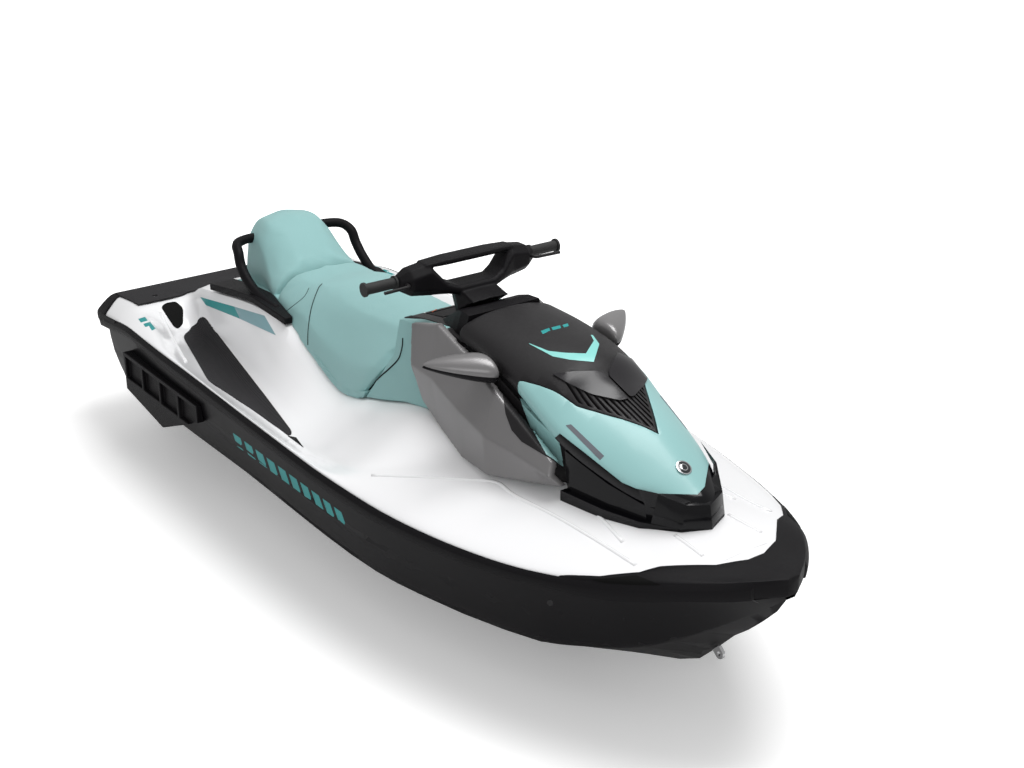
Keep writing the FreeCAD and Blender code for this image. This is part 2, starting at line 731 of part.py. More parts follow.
# The seat ends at a face that leans forward, then stands upright under the handlebar
seat_face_shares = [(0.462, 0.95), (0.468, 1.04), (0.512, 1.45), (0.512, 2.0), (0.62, 2.0), (0.62, 0.95)]


def seat_face_tool(shift):
    points = [(along(at) + shift, above_keel(height * rail_height)) for at, height in seat_face_shares]
    return prism(points, -half_beam, half_beam)


base_stations = between(seat_rear_share, seat_front_share)
base_low = gap
base_high = gap + seat_base_thickness
seat_front_tool = seat_face_tool(0)
seat_base = loft([seat_section(at, base_low, base_high) for at in base_stations])
seat_base = seat_base.cut(seat_front_tool)
feature("seat_base", seat_base)
cushion_low = base_high + gap
rear_stations = between(seat_rear_share, seat_split_share)
front_stations = between(seat_split_share + gap / length, seat_front_share)
rear_cushion = loft([seat_section(at, cushion_low) for at in rear_stations])
front_cushion = loft([seat_section(at, cushion_low) for at in front_stations])
front_cushion = front_cushion.cut(seat_front_tool)
feature("seat_cushion_rear", rear_cushion)
feature("seat_cushion_front", front_cushion)

# Side trays beside the rear seat, and the grab handles that stand on them
tray_rear_share = 0.142
tray_front_share = 0.318
tray_thickness = size("tray_thickness")
tray_sections = []
for at in between(tray_rear_share, tray_front_share):
    riser = line_point(riser_shares, at)
    inner = Vector(riser.x, seat_half_width(at) + running_gap, riser.z + gap)
    outer = Vector(riser.x, riser.y - gap, riser.z + gap)
    lift = Vector(0, 0, tray_thickness)
    tray_sections.append([inner, outer, outer + lift, inner + lift])
side_tray = loft(tray_sections)
feature("side_trays", both_sides(side_tray))
handle_shares = [
    (0.152, 0.395, 0), (0.156, 0.385, 0.882), (0.193, 0.37, 0.941), (0.28, 0.392, 0.823),
    (0.303, 0.404, 0),
]
handle_points = []
for at, across, height in handle_shares:
    z = above_keel(height * seat_height)
    if height == 0:
        z = level(riser_shares, at, 2) + tray_thickness / 2
    handle_points.append(Vector(along(at), across * half_beam, z))
grab_handle = tube(handle_points, size("handle_diameter") / 2, size("handle_bend"))
grab_handle = grab_handle.cut(deck_solid).cut(side_tray)
feature("grab_handles", both_sides(grab_handle))

# Console between the seat and the front cover, with knee pads on its sides
console_height = size("console_height")
console_rear_share = 0.455
console_front_share = 0.80
console_top_shares = [
    (0.45, 0.30, 0.92), (0.512, 0.30, 0.925), (0.53, 0.285, 0.94), (0.56, 0.28, 0.95),
    (0.59, 0.27, 0.965), (0.65, 0.28, 0.93), (0.70, 0.32, 0.895), (0.76, 0.30, 0.80),
    (0.81, 0.22, 0.74),
]


def console_top(at):
    return above_keel(reading(console_top_shares, at, 2) * console_height)


def console_section(at):
    riser = line_point(riser_shares, at)
    low = Vector(riser.x, riser.y - mat_margin, riser.z + gap)
    top = Vector(riser.x, reading(console_top_shares, at) * half_beam, console_top(at))
    return mirrored([low, top])


under_cover_share = 0.61
bow_high = Vector(along(1), half_beam, deck_top_limit)
console_full = loft([console_section(at) for at in between(console_rear_share, console_front_share)])
console_full = console_full.common(seat_face_tool(running_gap).fuse(
    box_between(Vector(along(under_cover_share), -half_beam, keel_line), bow_high)
)).cut(bin_pocket)
knee_inner_share = 0.22
knee_rear_share = 0.44
knee_front_share = 0.585
knee_tool = box_between(
    Vector(along(knee_rear_share), knee_inner_share * half_beam, keel_line),
    Vector(along(knee_front_share), half_beam, deck_top_limit),
)
lid_rear_share = 0.518
lid_front_share = 0.549
lid_half = size("lid_width") / 2
lid_thickness = size("lid_thickness")
lid_rear = Vector(along(lid_rear_share), 0, console_top(lid_rear_share))
lid_front = Vector(along(lid_front_share), 0, console_top(lid_front_share))
glove_depth = size("glove_box_depth")
glove_box_inside = prism(
    [
        (lid_rear.x + running_gap, lid_rear.z - glove_depth),
        (lid_front.x - running_gap, lid_rear.z - glove_depth),
        (lid_front.x - running_gap, lid_front.z + overrun),
        (lid_rear.x + running_gap, lid_rear.z + overrun),
    ],
    -lid_half + running_gap,
    lid_half - running_gap,
)
lid_seat = prism(
    [
        (lid_rear.x, lid_rear.z - lid_thickness), (lid_front.x, lid_front.z - lid_thickness),
        (lid_front.x, lid_front.z + overrun), (lid_rear.x, lid_rear.z + overrun),
    ],
    -lid_half,
    lid_half,
)
lid_margin = running_gap
place("lid_rear_x", lid_rear.x + lid_margin)
place("lid_front_x", lid_front.x - lid_margin)
place("lid_rear_top", lid_rear.z)
place("lid_front_top", lid_front.z)
place("lid_rear_low", lid_rear.z - lid_thickness + gap)
place("lid_front_low", lid_front.z - lid_thickness + gap)
lid_body = new_body("glovebox_lid")
lid_outline = bound_outline(lid_body, "lid_outline", "XZ_Plane", [
    ("lid_rear_x", "lid_rear_low"), ("lid_front_x", "lid_front_low"),
    ("lid_front_x", "lid_front_top"), ("lid_rear_x", "lid_rear_top"),
])
lid_pad = lid_body.newObject("PartDesign::Pad", "lid_pad")
lid_pad.Profile = lid_outline
lid_pad.SideType = "Symmetric"
lid_pad.setExpression("Length", "Sizes.lid_width - 2 * Sizes.running_gap")
sub_parts.append(lid_body)
console_cut = console_full.cut(both_sides(knee_tool)).cut(glove_box_inside).cut(lid_seat)
knee_pads = console_full.common(both_sides(knee_tool)).cut(lid_seat)

# Engine block on the floor of the bay
engine = doc.addObject("Part::Box", "engine_block")
engine.Label = "engine_block"
engine.setExpression("Length", "Sizes.engine_length")
engine.setExpression("Width", "Sizes.engine_width")
engine.setExpression("Height", "Sizes.engine_height")
engine.Placement.Base = Vector(
    engine_rear, -size("engine_width") / 2, bay_low.z
)
sub_parts.append(engine)

# Front cover: black centre, pale panels round it
hood_height = size("hood_height")
hood_rear_share = 0.615
hood_front_share = 0.891
hood_top_shares = [
    (0.61, 0.22, 1.0, 0.29, 0.965), (0.65, 0.22, 1.0, 0.30, 0.955), (0.70, 0.20, 0.99, 0.325, 0.925),
    (0.745, 0.18, 0.965, 0.335, 0.865), (0.775, 0.17, 0.90, 0.325, 0.815), (0.83, 0.13, 0.83, 0.27, 0.75),
    (0.86, 0.10, 0.775, 0.215, 0.72), (0.891, 0.06, 0.71, 0.10, 0.695),
]
hood_thickness = size("hood_thickness")


def hood_section(at):
    x = along(at)
    shoulder = Vector(
        x, smooth_value(hood_top_shares, at) * half_beam,
        above_keel(smooth_value(hood_top_shares, at, 2) * hood_height),
    )
    edge = Vector(
        x, smooth_value(hood_top_shares, at, 3) * half_beam,
        above_keel(smooth_value(hood_top_shares, at, 4) * hood_height),
    )
    drop = Vector(0, 0, -hood_thickness)
    inner_edge = edge + drop
    inner_shoulder = shoulder + drop
    inner_shoulder.y -= hood_thickness / 2
    inner_edge.y -= hood_thickness / 3
    half = [inner_shoulder, inner_edge, edge, shoulder]
    return half + [Vector(p.x, -p.y, p.z) for p in reversed(half)]


hood_stations = [0.615, 0.65, 0.68, 0.71, 0.745, 0.775, 0.8, 0.83, 0.86, 0.891]
hood_solid = loft([hood_section(at) for at in hood_stations])
centre_plan_shares = [(0.60, 0.5), (0.70, 0.5), (0.716, 0.312), (0.771, 0.205), (0.833, 0.0)]


def plan_prism(shares, low_z, high_z, grow=0):
    points = [Vector(along(at), across * half_beam + grow, low_z) for at, across in shares]
    points = mirrored(points)
    face = Part.Face(Part.makePolygon(points + [points[0]]))
    return face.extrude(Vector(0, 0, high_z - low_z))


hood_tool_low = above_keel(0)
hood_tool_high = above_keel(hood_height + overrun)
centre_tool = plan_prism(centre_plan_shares, hood_tool_low, hood_tool_high)
split_gap = size("hood_split_gap")
panel_tool = plan_prism(centre_plan_shares, hood_tool_low, hood_tool_high, split_gap)
hood_centre = hood_solid.common(centre_tool)
hood_panel = hood_solid.cut(panel_tool)

# The grille: slots that run fore and aft, behind a swept edge and ahead of a V
grille_apex_share = 0.773
grille_sweep_share = 0.86
grille_half_share = 0.2
slot_count = int(size("grille_slot_count"))
slot_pitch = grille_half_share * half_beam / slot_count
slat_half = size("grille_slat_width") / 2
swept_rear, swept_front = centre_plan_shares[-2:]
sweep = (along(swept_front[0]) - along(swept_rear[0])) / (swept_rear[1] * half_beam)
hood_floor = hood_solid.translated(Vector(0, 0, -size("grille_depth")))
grille_slots = []
for index in range(slot_count):
    inner = index * slot_pitch + slat_half
    outer = (index + 1) * slot_pitch - slat_half
    ahead = along(swept_front[0]) - size("grille_rim")
    corners = [
        Vector(along(grille_apex_share) - inner * grille_sweep_share, inner, hood_tool_low),
        Vector(ahead - inner * sweep, inner, hood_tool_low),
        Vector(ahead - outer * sweep, outer, hood_tool_low),
        Vector(along(grille_apex_share) - outer * grille_sweep_share, outer, hood_tool_low),
    ]
    face = Part.Face(Part.makePolygon(corners + [corners[0]]))
    grille_slots.append(face.extrude(Vector(0, 0, hood_tool_high - hood_tool_low)))
for tool in grille_slots:
    hood_centre = hood_centre.cut(both_sides(tool.cut(hood_floor)))
feature("hood_centre", hood_centre)
feature("hood_panel", hood_panel)


def hood_room_section(at, shift_x, room):
    """The space that the closed cover takes, with room round it."""
    section = hood_section(at)
    inner_shoulder, inner_edge, edge, shoulder = section[:4]
    x = along(at) + shift_x
    top = Vector(x, edge.y + room, deck_top_limit + hood_thickness)
    low_edge = Vector(x, edge.y + room, inner_edge.z - room)
    low_inner = Vector(x, inner_edge.y - room, inner_edge.z - room)
    low_shoulder = Vector(x, inner_shoulder.y - room, inner_shoulder.z - room)
    return mirrored([low_shoulder, low_inner, low_edge, top])


def hood_room_solid(room):
    sections = [hood_room_section(hood_stations[0], -room, room)]
    sections += [hood_room_section(at, 0, room) for at in hood_stations[1:-1]]
    sections.append(hood_room_section(hood_stations[-1], room, room))
    return loft(sections)


hood_room = hood_room_solid(running_gap)
feature("console", console_cut.cut(hood_room))
feature("knee_pads", knee_pads)

# Storage bin under the front cover, its rim against the cover
bin_wall = size("bin_wall")
place("bin_rear", bin_low.x)
place("bin_front", bin_high.x)
place("bin_side", bin_half)
place("bin_floor_level", bin_low.z)
place("bin_top_level", bin_high.z)
bin_body = new_body("bin_box")
bin_outline = bound_outline(
    bin_body, "bin_outline", "XY_Plane", rectangle("bin_rear", "bin_front", "-bin_side", "bin_side"),
    "bin_floor_level",
)
bin_pad = bin_body.newObject("PartDesign::Pad", "bin_pad")
bin_pad.Profile = bin_outline
bin_pad.setExpression("Length", "Places.bin_top_level - Places.bin_floor_level")
place("bin_inner_rear", bin_low.x + bin_wall)
place("bin_inner_front", bin_high.x - bin_wall)
place("bin_inner_side", bin_half - bin_wall)
bin_hollow_outline = bound_outline(
    bin_body, "bin_hollow_outline", "XY_Plane",
    rectangle("bin_inner_rear", "bin_inner_front", "-bin_inner_side", "bin_inner_side"), "bin_top_level",
)
bin_hollow = bin_body.newObject("PartDesign::Pocket", "bin_hollow")
bin_hollow.Profile = bin_hollow_outline
bin_hollow.setExpression("Length", "Places.bin_top_level - Places.bin_floor_level - Sizes.bin_wall")
cover_space = doc.addObject("Part::Feature", "cover_space")
cover_space.Shape = hood_room_solid(gap)
storage_bin = doc.addObject("Part::Cut", "storage_bin")
storage_bin.Label = "storage_bin"
storage_bin.Base = bin_body
storage_bin.Tool = cover_space
sub_parts.append(storage_bin)

# Mirrors on the sides of the front cover
mirror_shares = {
    "inner_top": (0.668, 0.335, 0.955),
    "inner_low": (0.700, 0.395, 0.896),
    "tip": (0.650, 0.626, 0.938),
}
mirror_depth = size("mirror_depth")


def hood_point(shares):
    return Vector(along(shares[0]), shares[1] * half_beam, above_keel(shares[2] * hood_height))


mirror_root = [hood_point(mirror_shares["inner_top"]), hood_point(mirror_shares["inner_low"])]
mirror_root = [point + Vector(0, -hood_thickness, -hood_thickness / 4) for point in mirror_root]
mirror_tip = hood_point(mirror_shares["tip"])
drop = Vector(0, 0, -mirror_depth)
mirror_taper_share = 0.6
root_section = [
    mirror_root[0], mirror_root[1], mirror_root[1] + drop * mirror_taper_share,
    mirror_root[0] + drop,
]
tip_back = Vector(-mirror_depth, 0, 0)
tip_front = Vector(mirror_depth / 2, 0, 0)
tip_section = [
    mirror_tip + tip_back, mirror_tip + tip_front, mirror_tip + tip_front + drop / 2,
    mirror_tip + tip_back + drop * mirror_taper_share,
]
mirror_shell = Part.makeLoft(
    [Part.makePolygon(points + [points[0]]) for points in (root_section, tip_section)], True, True
).cut(hood_solid)
feature("mirror_housings", both_sides(mirror_shell))

# Silver side panels
panel_low_shares = [
    (0.581, 0.40, 1.294), (0.617, 0.424, 1.206), (0.663, 0.464, 1.133), (0.708, 0.48, 1.133),
    (0.747, 0.416, 1.171), (0.783, 0.344, 1.206),
]
panel_top_shares = [
    (0.545, 0.335, 0.95), (0.587, 0.325, 0.99), (0.648, 0.335, 0.925), (0.693, 0.38, 0.885),
    (0.729, 0.38, 0.83), (0.774, 0.36, 0.74),
]
panel_thickness = size("panel_thickness")
panel_bulge_share = 0.15
panel_sections = []
for low_row, top_row in zip(panel_low_shares, panel_top_shares):
    low = Vector(along(low_row[0]), low_row[1] * half_beam, above_keel(low_row[2] * rail_height))
    top = Vector(along(top_row[0]), top_row[1] * half_beam, above_keel(top_row[2] * console_height))
    middle = (low + top) / 2
    middle.y += panel_thickness
    outer = [low, middle, top]
    panel_sections.append(outer + [Vector(p.x, p.y - panel_thickness, p.z) for p in reversed(outer)])
panel_solid = loft(panel_sections).cut(deck_solid).cut(console_full).cut(hood_room)
feature("side_panels", both_sides(panel_solid))

# Fascia under the nose of the front cover: a lip, and a scoop above it
fascia_shares = [
    (0.783, 0.345, 1.07, 1.463), (0.83, 0.30, 1.08, 1.412), (0.865, 0.24, 1.09, 1.373),
    (0.895, 0.13, 1.11, 1.31), (0.906, 0, 1.12, 1.29),
]
fascia_lip_share = 0.3
fascia_sections = []
for at, across, low_share, high_share in fascia_shares:
    low = above_keel(low_share * rail_height)
    high = above_keel(high_share * rail_height)
    lip = low + (high - low) * fascia_lip_share
    x_in = panel_thickness if across == 0 else 0
    y_in = 0 if across == 0 else panel_thickness
    outline = Vector(along(at), across * half_beam, 0)
    fascia_sections.append([
        Vector(outline.x - x_in * 2, outline.y - y_in * 2, low), Vector(outline.x, outline.y, low),
        Vector(outline.x, outline.y, lip), Vector(outline.x - x_in, outline.y - y_in, lip),
        Vector(outline.x - x_in / 2, outline.y - y_in / 2, high),
        Vector(outline.x - x_in * 2, outline.y - y_in * 2, high),
    ])
fascia_nose = fascia_sections.pop()
fascia_other = [[Vector(p.x, -p.y, p.z) for p in section] for section in reversed(fascia_sections)]
fascia = loft(fascia_sections + [fascia_nose] + fascia_other)
fascia = fascia.cut(deck_solid).cut(hood_room).cut(console_full).cut(both_sides(panel_solid))
feature("fascia", fascia)


# Steering column, handlebar and its covers
rake = math.radians(size("column_rake"))
column_axis = Vector(-math.sin(rake), 0, math.cos(rake))
bar_centre_share = 0.545
bar_centre = Vector(along(bar_centre_share), 0, above_keel(size("bar_height")))
bar_half = size("bar_span") / 2
clamp = bar_centre - column_axis * size("clamp_drop")
column_length = size("column_length")
column_radius = size("column_diameter") / 2
column = Part.makeCylinder(
    column_radius, column_length, clamp - column_axis * column_length, column_axis
)
bar_radius = size("bar_diameter") / 2
elbow_share = 0.5
clamp_share = 0.13
half_bar = [
    bar_centre + Vector(0, bar_half, 0), bar_centre + Vector(0, bar_half * elbow_share, 0),
    clamp + Vector(0, bar_half * clamp_share, 0),
]
bar_points = half_bar + [Vector(p.x, -p.y, p.z) for p in reversed(half_bar)]
bar = tube(bar_points, bar_radius, size("bar_bend"))
handlebar = bar.fuse(column)

grip_length = size("grip_length")
grip_radius = size("grip_diameter") / 2
flange_thickness = size("grip_flange_thickness")
grip_start = bar_centre + Vector(0, bar_half - grip_length, 0)
across = Vector(0, 1, 0)
grip = Part.makeCylinder(grip_radius, grip_length, grip_start, across)
flange_radius = size("grip_flange_diameter") / 2
grip = grip.fuse(Part.makeCylinder(flange_radius, flange_thickness, grip_start, across))
grip_end = grip_start + Vector(0, grip_length - flange_thickness, 0)
grip = grip.fuse(Part.makeCylinder(flange_radius, flange_thickness, grip_end, across))
grip = grip.cut(Part.makeCylinder(bar_radius, grip_length - flange_thickness, grip_start, across))
handlebar = handlebar.cut(both_sides(Part.makeCylinder(flange_radius, overrun, grip_end, across)))
feature("handlebar", handlebar)
feature("grips", both_sides(grip))

# Steering cover: two faceted housings under a pad, on a neck that follows the column
cover_depth = size("cover_depth")
cover_thickness = size("cover_thickness")
corner_share = 0.28


def housing_section(row):
    """An eight-sided section across the bar, from one row of shares."""
    across_share, back_share, front_share, low_share, high_share = row
    centre = bar_centre + Vector(0, bar_half * across_share, 0)
    back = centre.x - back_share * cover_depth
    front = centre.x + front_share * cover_depth
    low = centre.z + low_share * cover_thickness
    high = centre.z + high_share * cover_thickness
    corner = min(front - back, high - low) * corner_share
    outline = [
        (back + corner, low), (front - corner, low), (front, low + corner), (front, high - corner),
        (front - corner, high), (back + corner, high), (back, high - corner), (back, low + corner),
    ]
    return [Vector(x, centre.y, z) for x, z in outline]


grip_share = grip_start.y / bar_half
housing_shares = [
    (0.592, 0.6, 0.92, -0.87, 0.77), (0.421, 0.5, 1.0, -1.06, 1.0), (0.289, 0.33, 1.25, -1.0, -0.23),
    (0.184, 0.08, 1.42, -1.15, -0.54),
]
housing_end_shares = (0.3, 0.5, -0.46, 0.38)
half_rows = [(grip_share - gap / bar_half,) + housing_end_shares] + housing_shares
other_rows = [(-row[0],) + row[1:] for row in reversed(half_rows)]
housing = loft([housing_section(row) for row in half_rows + other_rows])
pad_end_share = size("cover_pad_half_width") / bar_half
pad_shares = [(pad_end_share, 0.3, 0.7, 0.72, 1.0), (pad_end_share / 2, 0.36, 0.78, 0.67, 1.08)]
pad_rows = pad_shares + [(-row[0],) + row[1:] for row in reversed(pad_shares)]
pad = loft([housing_section(row) for row in pad_rows])
cover_foot = bar_centre - column_axis * size("cover_drop")
foot_ahead = Vector(math.cos(rake), 0, math.sin(rake))
neck_foot_shares = [(1.8, 0), (1.58, 1.17), (0.17, 1.3), (-0.75, 0.92)]
neck_head_shares = [(1.38, 0), (1.36, 1.1), (0.67, 1.15), (0.02, 1.0)]
neck_head_height_share = -0.85
neck_head_z = bar_centre.z + neck_head_height_share * cover_thickness
foot_half = [
    cover_foot + foot_ahead * (ahead * cover_depth) + Vector(0, side * cover_depth, 0)
    for ahead, side in neck_foot_shares
]
head_half = [
    Vector(bar_centre.x + ahead * cover_depth, side * cover_depth, neck_head_z)
    for ahead, side in neck_head_shares
]
neck = loft([mirrored(foot_half), mirrored(head_half)])
steering_cover = housing.fuse(pad).fuse(neck).removeSplitter()
steering_cover = steering_cover.cut(handlebar)
feature("steering_cover", steering_cover)

# Throttle and brake levers
lever_radius = size("lever_diameter") / 2
lever_shares = [(0.3, -0.15), (1.0, -0.15), (1.1, 0.68)]
lever_points = [
    grip_start + Vector(ahead * cover_depth, side * grip_length, 0) for ahead, side in lever_shares
]
lever = tube(lever_points, lever_radius, size("lever_bend"))
lever = lever.cut(steering_cover)
feature("levers", both_sides(lever))

# Column cowl round the foot of the steering column
cowl_shares = [
    (0.551, 0.18, 0.96, 0.12), (0.566, 0.22, 0.975, 0.15), (0.586, 0.25, 0.99, 0.19),
    (0.598, 0.26, 1.0, 0.21), (0.6125, 0.26, 1.0, 0.22),
]
cowl_sections = []
for at, low_share, height_share, top_share in cowl_shares:
    top_z = above_keel(height_share * hood_height)
    low_z = console_top(at) - overrun
    cowl_sections.append(mirrored([
        Vector(along(at), low_share * half_beam, low_z), Vector(along(at), top_share * half_beam, top_z),
    ]))
cover_room = Part.makeCylinder(
    bar_half, bar_half, cover_foot - column_axis * running_gap, column_axis
)
column_hole = Part.makeCylinder(
    column_radius + gap, column_length * 2, clamp - column_axis * column_length * 2, column_axis
)
cowl = loft(cowl_sections).cut(console_full).cut(hood_room).cut(cover_room).cut(column_hole)
feature("column_cowl", cowl)
console_item = next(item for item in sub_parts if item.Label == "console")
console_item.Shape = console_item.Shape.cut(column_hole)

# Jet pump in the tunnel: housing with stator, outlet and pivots
x_way = Vector(1, 0, 0)
z_way = Vector(0, 0, 1)
pump_wall = size("pump_wall")
pump_outer_radius = pump_bore_radius + pump_wall
cone_length = size("pump_cone_length")
outlet_radius = size("pump_outlet_bore") / 2
outlet_outer = outlet_radius + pump_wall
outlet_length = size("pump_outlet_length")
flange_depth = size("pump_flange_thickness")
flange_outer = size("pump_flange_diameter") / 2


def turned(profile):
    """A solid of revolution about the pump's axis, from (x, radius) points."""
    points = [Vector(x, 0, radius) for x, radius in profile]
    face = Part.Face(Part.makePolygon(points + [points[0]]))
    solid = face.revolve(Vector(0, 0, 0), x_way, 360)
    solid.translate(Vector(0, 0, shaft_axis_z))
    return solid


outlet_start = pump_rear - cone_length
outlet_end = outlet_start - outlet_length
housing_profile = [
    (pump_front - gap, pump_bore_radius), (pump_front - gap, flange_outer),
    (pump_front - flange_depth, flange_outer), (pump_front - flange_depth, pump_outer_radius),
    (pump_rear + flange_depth, pump_outer_radius), (pump_rear + flange_depth, flange_outer),
    (pump_rear, flange_outer), (pump_rear, pump_outer_radius), (outlet_start, outlet_outer),
    (outlet_end, outlet_outer), (outlet_end, outlet_radius), (outlet_start, outlet_radius),
    (pump_rear, pump_bore_radius),
]
pump = turned(housing_profile)
hub_radius = size("hub_diameter") / 2
impeller_length = size("impeller_length")
impeller_front = pump_front - running_gap
impeller_rear = impeller_front - impeller_length
stator_front = impeller_rear - running_gap
stator_rear = pump_rear + flange_depth
stator = turned([
    (stator_front, 0), (stator_front, hub_radius), (stator_rear, hub_radius),
    (outlet_start, hub_radius / 4), (outlet_start, 0),
])
vane_count = int(size("vane_count"))
vane_thickness = size("vane_thickness")
for index in range(vane_count):
    vane = Part.makeBox(
        stator_front - stator_rear, vane_thickness, pump_bore_radius - hub_radius / 2,
        Vector(stator_rear, -vane_thickness / 2, shaft_axis_z + hub_radius / 2),
    )
    vane.rotate(Vector(0, 0, shaft_axis_z), x_way, 360 / vane_count * (index + 0.5))
    stator = stator.fuse(vane.common(turned([
        (stator_front, 0), (stator_front, pump_bore_radius + pump_wall / 2),
        (stator_rear, pump_bore_radius + pump_wall / 2), (stator_rear, 0),
    ])))
pump = pump.fuse(stator)
pin_radius = size("pivot_pin_diameter") / 2
pivot_gap = size("pivot_gap")
nozzle_wall = size("nozzle_wall")
nozzle_mouth = size("nozzle_mouth_bore") / 2
nozzle_pivot_x = outlet_start - outlet_length / 2
pin_reach = nozzle_mouth + nozzle_wall * 2
for side in (1, -1):
    start = Vector(nozzle_pivot_x, 0, shaft_axis_z + side * (outlet_radius + pump_wall / 2))
    pump = pump.fuse(Part.makeCylinder(
        pin_radius, pin_reach - outlet_radius - pump_wall / 2, start, z_way * side
    ))
gate_radius = size("gate_radius")
gate_wall = size("gate_wall")
gate_half = size("gate_width") / 2
gate_pivot_share = 0.75
gate_pivot_x = pump_rear - cone_length * gate_pivot_share
arm_inner_share = 0.8
arm_inner = flange_outer * arm_inner_share
arm_outer = gate_half - gate_wall - pivot_gap
arm_half_height = pin_radius * 2
arm_depth_share = 1.5
arm_depth = pin_radius * arm_depth_share
for side in (1, -1):
    foot = box_between(
        Vector(
            pump_rear - arm_depth, min(side * arm_inner, side * arm_outer),
            shaft_axis_z - arm_half_height,
        ),
        Vector(pump_rear, max(side * arm_inner, side * arm_outer), shaft_axis_z + arm_half_height),
    )
    cheek_inner = arm_outer - arm_depth
    cheek = box_between(
        Vector(
            gate_pivot_x - arm_half_height, min(side * cheek_inner, side * arm_outer),
            shaft_axis_z - arm_half_height,
        ),
        Vector(pump_rear, max(side * cheek_inner, side * arm_outer), shaft_axis_z + arm_half_height),
    )
    pin = Part.makeCylinder(
        pin_radius, gate_wall * 2 + pivot_gap, Vector(gate_pivot_x, side * arm_outer, shaft_axis_z),
        Vector(0, side, 0),
    )
    pump = pump.fuse(foot).fuse(cheek).fuse(pin)
feature("pump_housing", pump.removeSplitter())

# Impeller with its drive shaft
spinner_share = 0.8
blade_flare_share = 1.6
impeller = turned([
    (impeller_front, 0), (impeller_front, hub_radius * spinner_share), (impeller_rear, hub_radius),
    (impeller_rear, 0),
])
blade_count = int(size("blade_count"))
blade_thickness = size("blade_thickness")
rake_run = math.tan(math.radians(size("blade_rake")))


def blade_section(radius, run):
    return [
        Vector(impeller_rear, -run / 2 - blade_thickness / 2, radius),
        Vector(impeller_rear, -run / 2 + blade_thickness / 2, radius),
        Vector(impeller_front, run / 2 + blade_thickness / 2, radius),
        Vector(impeller_front, run / 2 - blade_thickness / 2, radius),
    ]


blade_run = impeller_length * rake_run
blade = loft([
    blade_section(hub_radius / 2, blade_run / 2),
    blade_section(pump_bore_radius + pump_wall, blade_run * blade_flare_share),
])
blade.translate(Vector(0, 0, shaft_axis_z))
tip_limit = turned([
    (impeller_front + overrun, 0), (impeller_front + overrun, pump_bore_radius - size("impeller_gap")),
    (impeller_rear - overrun, pump_bore_radius - size("impeller_gap")), (impeller_rear - overrun, 0),
])
blade = blade.common(tip_limit)
for index in range(blade_count):
    turned_blade = blade.copy()
    turned_blade.rotate(Vector(0, 0, shaft_axis_z), x_way, 360 / blade_count * index)
    impeller = impeller.fuse(turned_blade)
shaft = Part.makeCylinder(
    shaft_radius, engine_rear - gap - impeller_front, Vector(impeller_front, 0, shaft_axis_z), x_way
)
feature("impeller", impeller.fuse(shaft).removeSplitter())

# Steering nozzle
nozzle_length = size("nozzle_length")
nozzle_outlet = size("nozzle_outlet_bore") / 2
nozzle_rear = nozzle_pivot_x - nozzle_length
nozzle = turned([
    (nozzle_pivot_x, nozzle_mouth), (nozzle_pivot_x, nozzle_mouth + nozzle_wall),
    (nozzle_pivot_x - nozzle_length / 3, nozzle_mouth + nozzle_wall),
    (nozzle_rear, nozzle_outlet + nozzle_wall), (nozzle_rear, nozzle_outlet),
    (nozzle_pivot_x - nozzle_length / 3, nozzle_mouth),
])
for side in (1, -1):
    start = Vector(nozzle_pivot_x, 0, shaft_axis_z + side * (nozzle_mouth - nozzle_wall / 2))
    nozzle = nozzle.fuse(Part.makeCylinder(
        pin_radius * 2, nozzle_wall * 2, start, z_way * side
    ))
nozzle = nozzle.cut(Part.makeCylinder(
    pin_radius + pivot_gap, nozzle_mouth * 4,
    Vector(nozzle_pivot_x, 0, shaft_axis_z - nozzle_mouth * 2), z_way,
))
feature("steering_nozzle", nozzle.removeSplitter())

# Reverse gate: a curved shell between two cheeks
gate_low_angle = 25
gate_high_angle = 85
gate_centre = Vector(gate_pivot_x, 0, shaft_axis_z)


def gate_point(radius, degrees):
    turn = math.radians(degrees)
    return Vector(gate_pivot_x - radius * math.cos(turn), 0, shaft_axis_z + radius * math.sin(turn))


def gate_sector(outer, inner, low_y, high_y):
    middle = (gate_low_angle + gate_high_angle) / 2
    edges = [
        Part.Arc(gate_point(outer, gate_low_angle), gate_point(outer, middle),
                 gate_point(outer, gate_high_angle)).toShape(),
        Part.LineSegment(gate_point(outer, gate_high_angle), gate_point(inner, gate_high_angle)).toShape(),
        Part.Arc(gate_point(inner, gate_high_angle), gate_point(inner, middle),
                 gate_point(inner, gate_low_angle)).toShape(),
        Part.LineSegment(gate_point(inner, gate_low_angle), gate_point(outer, gate_low_angle)).toShape(),
    ]
    face = Part.Face(Part.Wire(edges))
    face.translate(Vector(0, low_y, 0))
    return face.extrude(Vector(0, high_y - low_y, 0))


gate = gate_sector(gate_radius, gate_radius - gate_wall, -gate_half, gate_half)
gate_hub_share = 2.5
cheek_share = 0.8
hub = pin_radius * gate_hub_share
for side in (1, -1):
    low_y = min(side * gate_half, side * (gate_half - gate_wall))
    cheek = gate_sector(gate_radius, hub * cheek_share, low_y, low_y + gate_wall)
    ring = Part.makeCylinder(hub, gate_wall, gate_centre + Vector(0, low_y, 0), across)
    gate = gate.fuse(cheek).fuse(ring)
gate = gate.cut(Part.makeCylinder(
    pin_radius + pivot_gap, gate_half * 4, gate_centre - Vector(0, gate_half * 2, 0), across
))
feature("reverse_gate", gate.removeSplitter())

